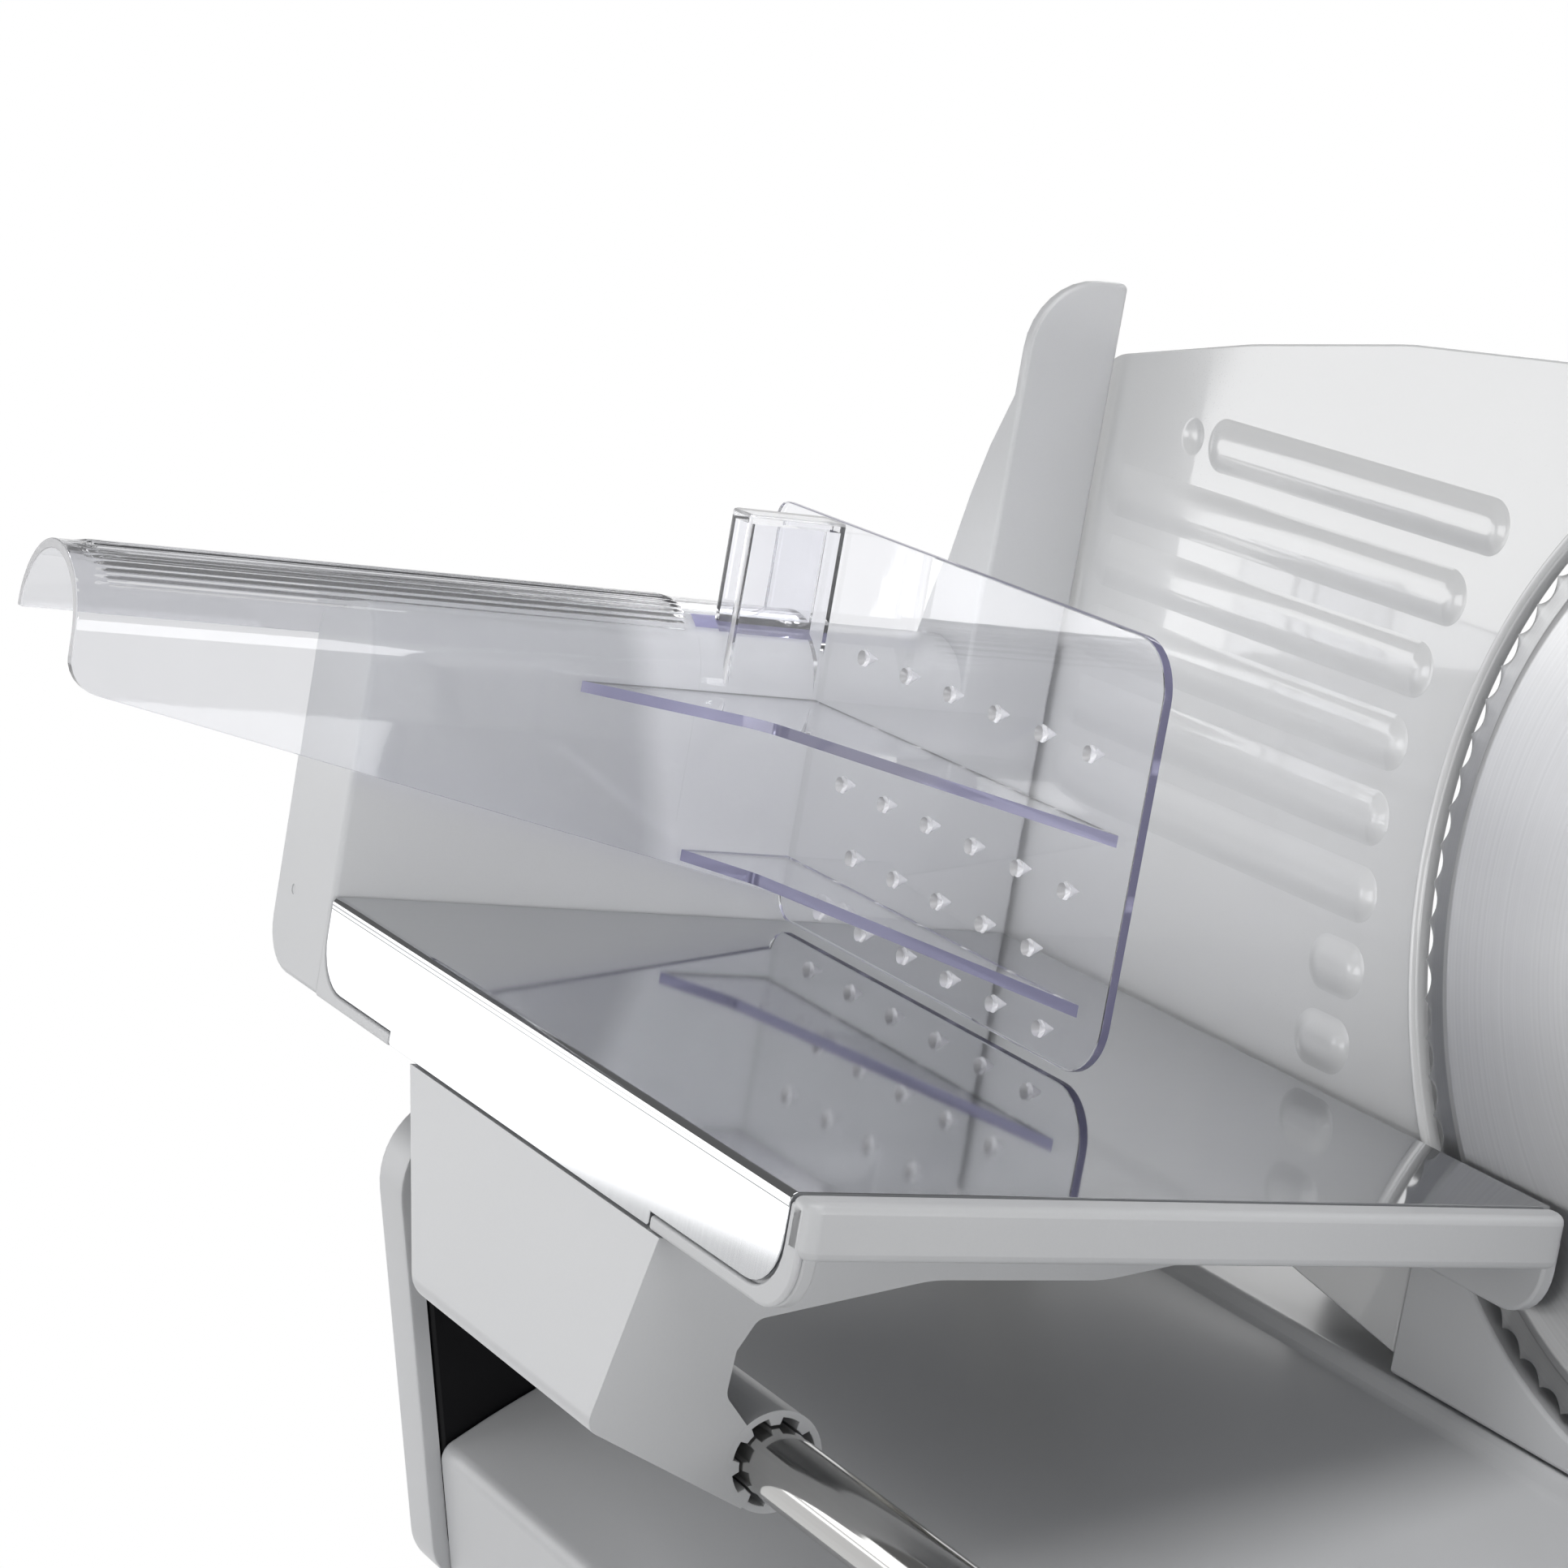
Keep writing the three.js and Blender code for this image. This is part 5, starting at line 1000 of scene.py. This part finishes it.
for name, inner, away in (("rear", BASE_REAR, 1), ("front", BASE_FRONT, -1)):
    outer = inner + away * CAP_THICK
    bm = solid("y", cap_outline(0), inner + away * 0.3, outer)
    soften(bm, 1.6, 4, lambda m: abs(m.y - outer) < 0.1)
    soften(bm, 0.6, 2, lambda m: abs(m.y - inner) < 0.4)
    hollow = solid("y", cap_outline(CAP_WALL), inner - away * 5, inner + away * 9)
    piece(name + "_bookend", bm, "machine", name + "_end_cap", cut=[hollow], matrix=LEVEL)
    bm = solid("y", cap_outline(CAP_WALL + 0.3), inner + away * 0.3, inner + away * 2.6)
    piece(name + "_inlay", bm, "machine", name + "_end_panel", "black_plastic", bevel=1.2, segments=2, matrix=LEVEL)
    dome = [(r, outer + away * h) for r, h in ((0, 2.3), (2.6, 2.1), (4.4, 1.4), (5, 0.3), (0, 0.3))]
    cross = cross_slot("y", RAIL_X, RAIL_Z, 2.6, 0.5, outer + away * 1.1, outer + away * 4)
    bm = turned("y", RAIL_X, RAIL_Z, dome, 40)
    piece(name + "_bolt", bm, "machine", name + "_rail_screw", "steel", cut=[cross], matrix=LEVEL)

# %% [markdown]
# ## Blade guard and gear cover
# A rim wraps the front of the blade and ends in a block below it, whose face is level with the thickness plate; a
# flange behind the blade joins it to the gear case. Its outline runs along an outer arc and back along an inner one,
# so the gap to the blade is even. Behind the blade a shallow drum with a hole for the shaft covers the gears.

# %% Blade guard
GUARD_R, SEAT_Z, BLOCK_Y = 104, -45.5, 38.3
low = degrees(asin((BLADE_Z - SEAT_Z) / GUARD_R))
back = -degrees(acos((BLOCK_Y - BLADE_Y) / RIM))
outline = arc(BLADE_Y, BLADE_Z, GUARD_R, 72, 180 + low, 72) + [(BLOCK_Y, SEAT_Z)]
outline += arc(BLADE_Y, BLADE_Z, RIM, back, -288, 90)
bm = solid("x", outline, 162.5, 186)
flange = arc(BLADE_Y, BLADE_Z, 100, 72, 252, 72) + arc(BLADE_Y, BLADE_Z, 84.3, 252, 72, 72)
slab(bm, "x", flange, 183.3, 185.9)
piece("guard_rim", bm, "machine", "blade_guard", bevel=0.8)

# %% Gear cover
DRUM_R, DRUM_REAR = 83, 23.5
chord = degrees(acos((DRUM_REAR - BLADE_Y) / DRUM_R))
bm = soften(solid("x", arc(BLADE_Y, BLADE_Z, DRUM_R, chord, 360 - chord, 90), 167.5, 186), 0.9)
hole = turned("x", BLADE_Y, BLADE_Z, [(0, 150), (18, 150), (18, 172), (0, 172)])
piece("gear_dish", bm, "machine", "gear_cover", cut=[hole])

# %% [markdown]
# ## Motor housing
# The tall part holds the motor and the low part the drive of the plate. One outline, drawn in by an inset, gives the
# case plate, the wall of the housing and the side cover, so that all three meet flush.

# %% Motor housing


def housing_outline(inset):
    front, rear, box, seat, top = -112 + inset, 25 - inset, 92 - inset, SEAT_Z + inset, 100 - inset
    corners = [(front, seat, 8), (box, seat, 8), (box, 17 - inset, 10), (rear, 17 - inset, 8)]
    return rounded(corners + [(rear, top, 30 - inset), (front, top, 30 - inset)], 14)


window = block(bmesh.new(), 180, 200, 46, 64, -37, -11)
piece("case_plate", solid("x", housing_outline(0), 186.3, 190), "machine", "gear_case", cut=[window])
bm = soften(solid("x", housing_outline(0), 190.3, 290.3), 0.6, 2)
tube = solid("x", housing_outline(3), 180, 300)
piece("motor_shell", bm, "machine", "motor_housing", cut=[tube])

# %% [markdown]
# The side cover closes the housing. Its outer edge is well rounded and its inner edge only just, so the two are
# softened separately. Seven slots with round ends let the motor breathe, and four small screws hold the cover.

# %% Side cover and screws
MOTOR_Y, MOTOR_Z = -58.0, 1.15
COVER_BACK, COVER_FACE = 290.6, 298.6
VENTS, VENT_PITCH, VENT_HALF, VENT_R = 7, 8, 25.2, 1.8
bm = solid("x", housing_outline(0), COVER_BACK, COVER_FACE)
soften(bm, 3.2, 6, lambda m: m.x > COVER_FACE - 0.1)
soften(bm, 0.6, 2, lambda m: m.x < COVER_BACK + 0.1)
hollow = solid("x", housing_outline(3.4), 280, 295.4)
slots = bmesh.new()
for i in range(VENTS):
    z = MOTOR_Z - 24 + VENT_PITCH * i
    ends = arc(MOTOR_Y + VENT_HALF, z, VENT_R, 270, 450, 12) + arc(MOTOR_Y - VENT_HALF, z, VENT_R, 90, 270, 12)
    slab(slots, "x", ends, 285, 305)
piece("vent_cover", bm, "machine", "side_cover", cut=[hollow, slots])

dome = [(0, 300.4), (1.6, 300.2), (2.6, 299.7), (3, 298.9), (3, 298.4), (0, 298.4)]
for i, (y, z) in enumerate([(-103, -36.5), (83, -36.5), (-99, 87), (12, 87)]):
    cross = cross_slot("x", y, z, 1.7, 0.4, 299.4, 303)
    piece(f"lid_screw_{i + 1}", turned("x", y, z, dome, 32), "machine", f"cover_screw_{i + 1}", "steel", cut=[cross])

# %% [markdown]
# ## Thickness knob
# The knob that sets the slice has twelve soft lobes for the fingers, a dished face and a raised pointer. The lobes are
# a wave on the radius of a circle, which no stock shape gives; the dish is cut and the pointer joined on.

# %% Thickness knob
KNOB_X, KNOB_Z, KNOB_BACK, KNOB_FACE = 232.0, -15.0, 94.1, 111.1
LOBES, LOBE_R, LOBE_WAVE = 12, 19.35, 0.65
lobes = []
for i in range(144):
    angle = i * 2.5
    lobes.append(on_circle(KNOB_X, KNOB_Z, LOBE_R + LOBE_WAVE * cos(LOBES * radians(angle)), angle))
bm = soften(solid("y", lobes, KNOB_BACK, KNOB_FACE), 1.4, 4, lambda m: m.y > KNOB_FACE - 0.1)
dish = turned("y", KNOB_X, KNOB_Z, [(0, 110), (12, 110.2), (15.4, 110.9), (16.2, 113), (0, 113)], 96)
pointer = block(bmesh.new(), KNOB_X - 1.2, KNOB_X + 1.2, 108, 112.1, KNOB_Z + 6, KNOB_Z + 17)
piece("grip_knob", bm, "knob", "thickness_knob", "black_plastic", cut=[dish], add=[soften(pointer, 0.5, 2)])

# %% [markdown]
# ## Switch and cord inlet
# The switch is a red rocker in a black frame. The paddle is drawn round its own pivot with a hollow front, tipped by
# 7 degrees and then moved to its place, because a tip is easiest about the origin. A turned rubber grommet with a
# waist marks where the cord enters.

# %% Switch
SWITCH_X, SWITCH_Z, BEZEL_FACE = 236.3, 54.0, 27.3
bezel = rounded([(-10, -13.5, 2), (10, -13.5, 2), (10, 13.5, 2), (-10, 13.5, 2)], 6)
bm = solid("y", [(SWITCH_X + u, SWITCH_Z + v) for u, v in bezel], 25.3, BEZEL_FACE)
soften(bm, 0.7, 3, lambda m: m.y > BEZEL_FACE - 0.1)
block(bm, SWITCH_X - 7, SWITCH_X + 7, 3.3, 25.2, SWITCH_Z - 10.5, SWITCH_Z + 10.5)
well = block(bmesh.new(), SWITCH_X - 5.5, SWITCH_X + 5.5, 14.3, 40, SWITCH_Z - 9, SWITCH_Z + 9)
piece("switch_frame", bm, "machine", "switch_body", "black_plastic", cut=[well])

paddle = rounded([(-4, -4.5, 1), (9, -7.5, 1), (7, 0, 18), (9, 7.5, 1), (-4, 4.5, 1)], 6)
bm = soften(solid("x", paddle, SWITCH_X - 5.1, SWITCH_X + 5.1), 0.4, 2)
bmesh.ops.rotate(bm, verts=bm.verts, cent=(0, 0, 0), matrix=Matrix.Rotation(radians(-7), 3, "X"))
bmesh.ops.translate(bm, verts=bm.verts, vec=(0, 21.3, SWITCH_Z))
piece("rocker_paddle", bm, "rocker", "switch_rocker", "red_plastic")

# %% Cord inlet
profile = [(3.6, -116), (8.2, -116), (9, -115.2), (9, -112.3), (5.7, -112.3), (5.7, -108.7), (8, -108.7), (6.6, -106)]
profile += [(3.6, -106), (3.6, -116)]
piece("cord_grommet", turned("y", 250.3, -19.5, profile), "machine", "cord_inlet", "rubber")

# %% [markdown]
# ## The rest of the machine
# The parts inside hardly show, so they keep their CAD shape and get the material of their slot.

# %% CAD nodes dressed
for entry in frame["record"]["subparts"]:
    thing = nodes[entry["node"]]
    thing.data.materials.clear()
    thing.data.materials.append(LOOKS[entry["material_slot"]])

# %% [markdown]
# ## Finish
# At the end the view layer is brought up to date.

# %% Finish
bpy.context.view_layer.update()
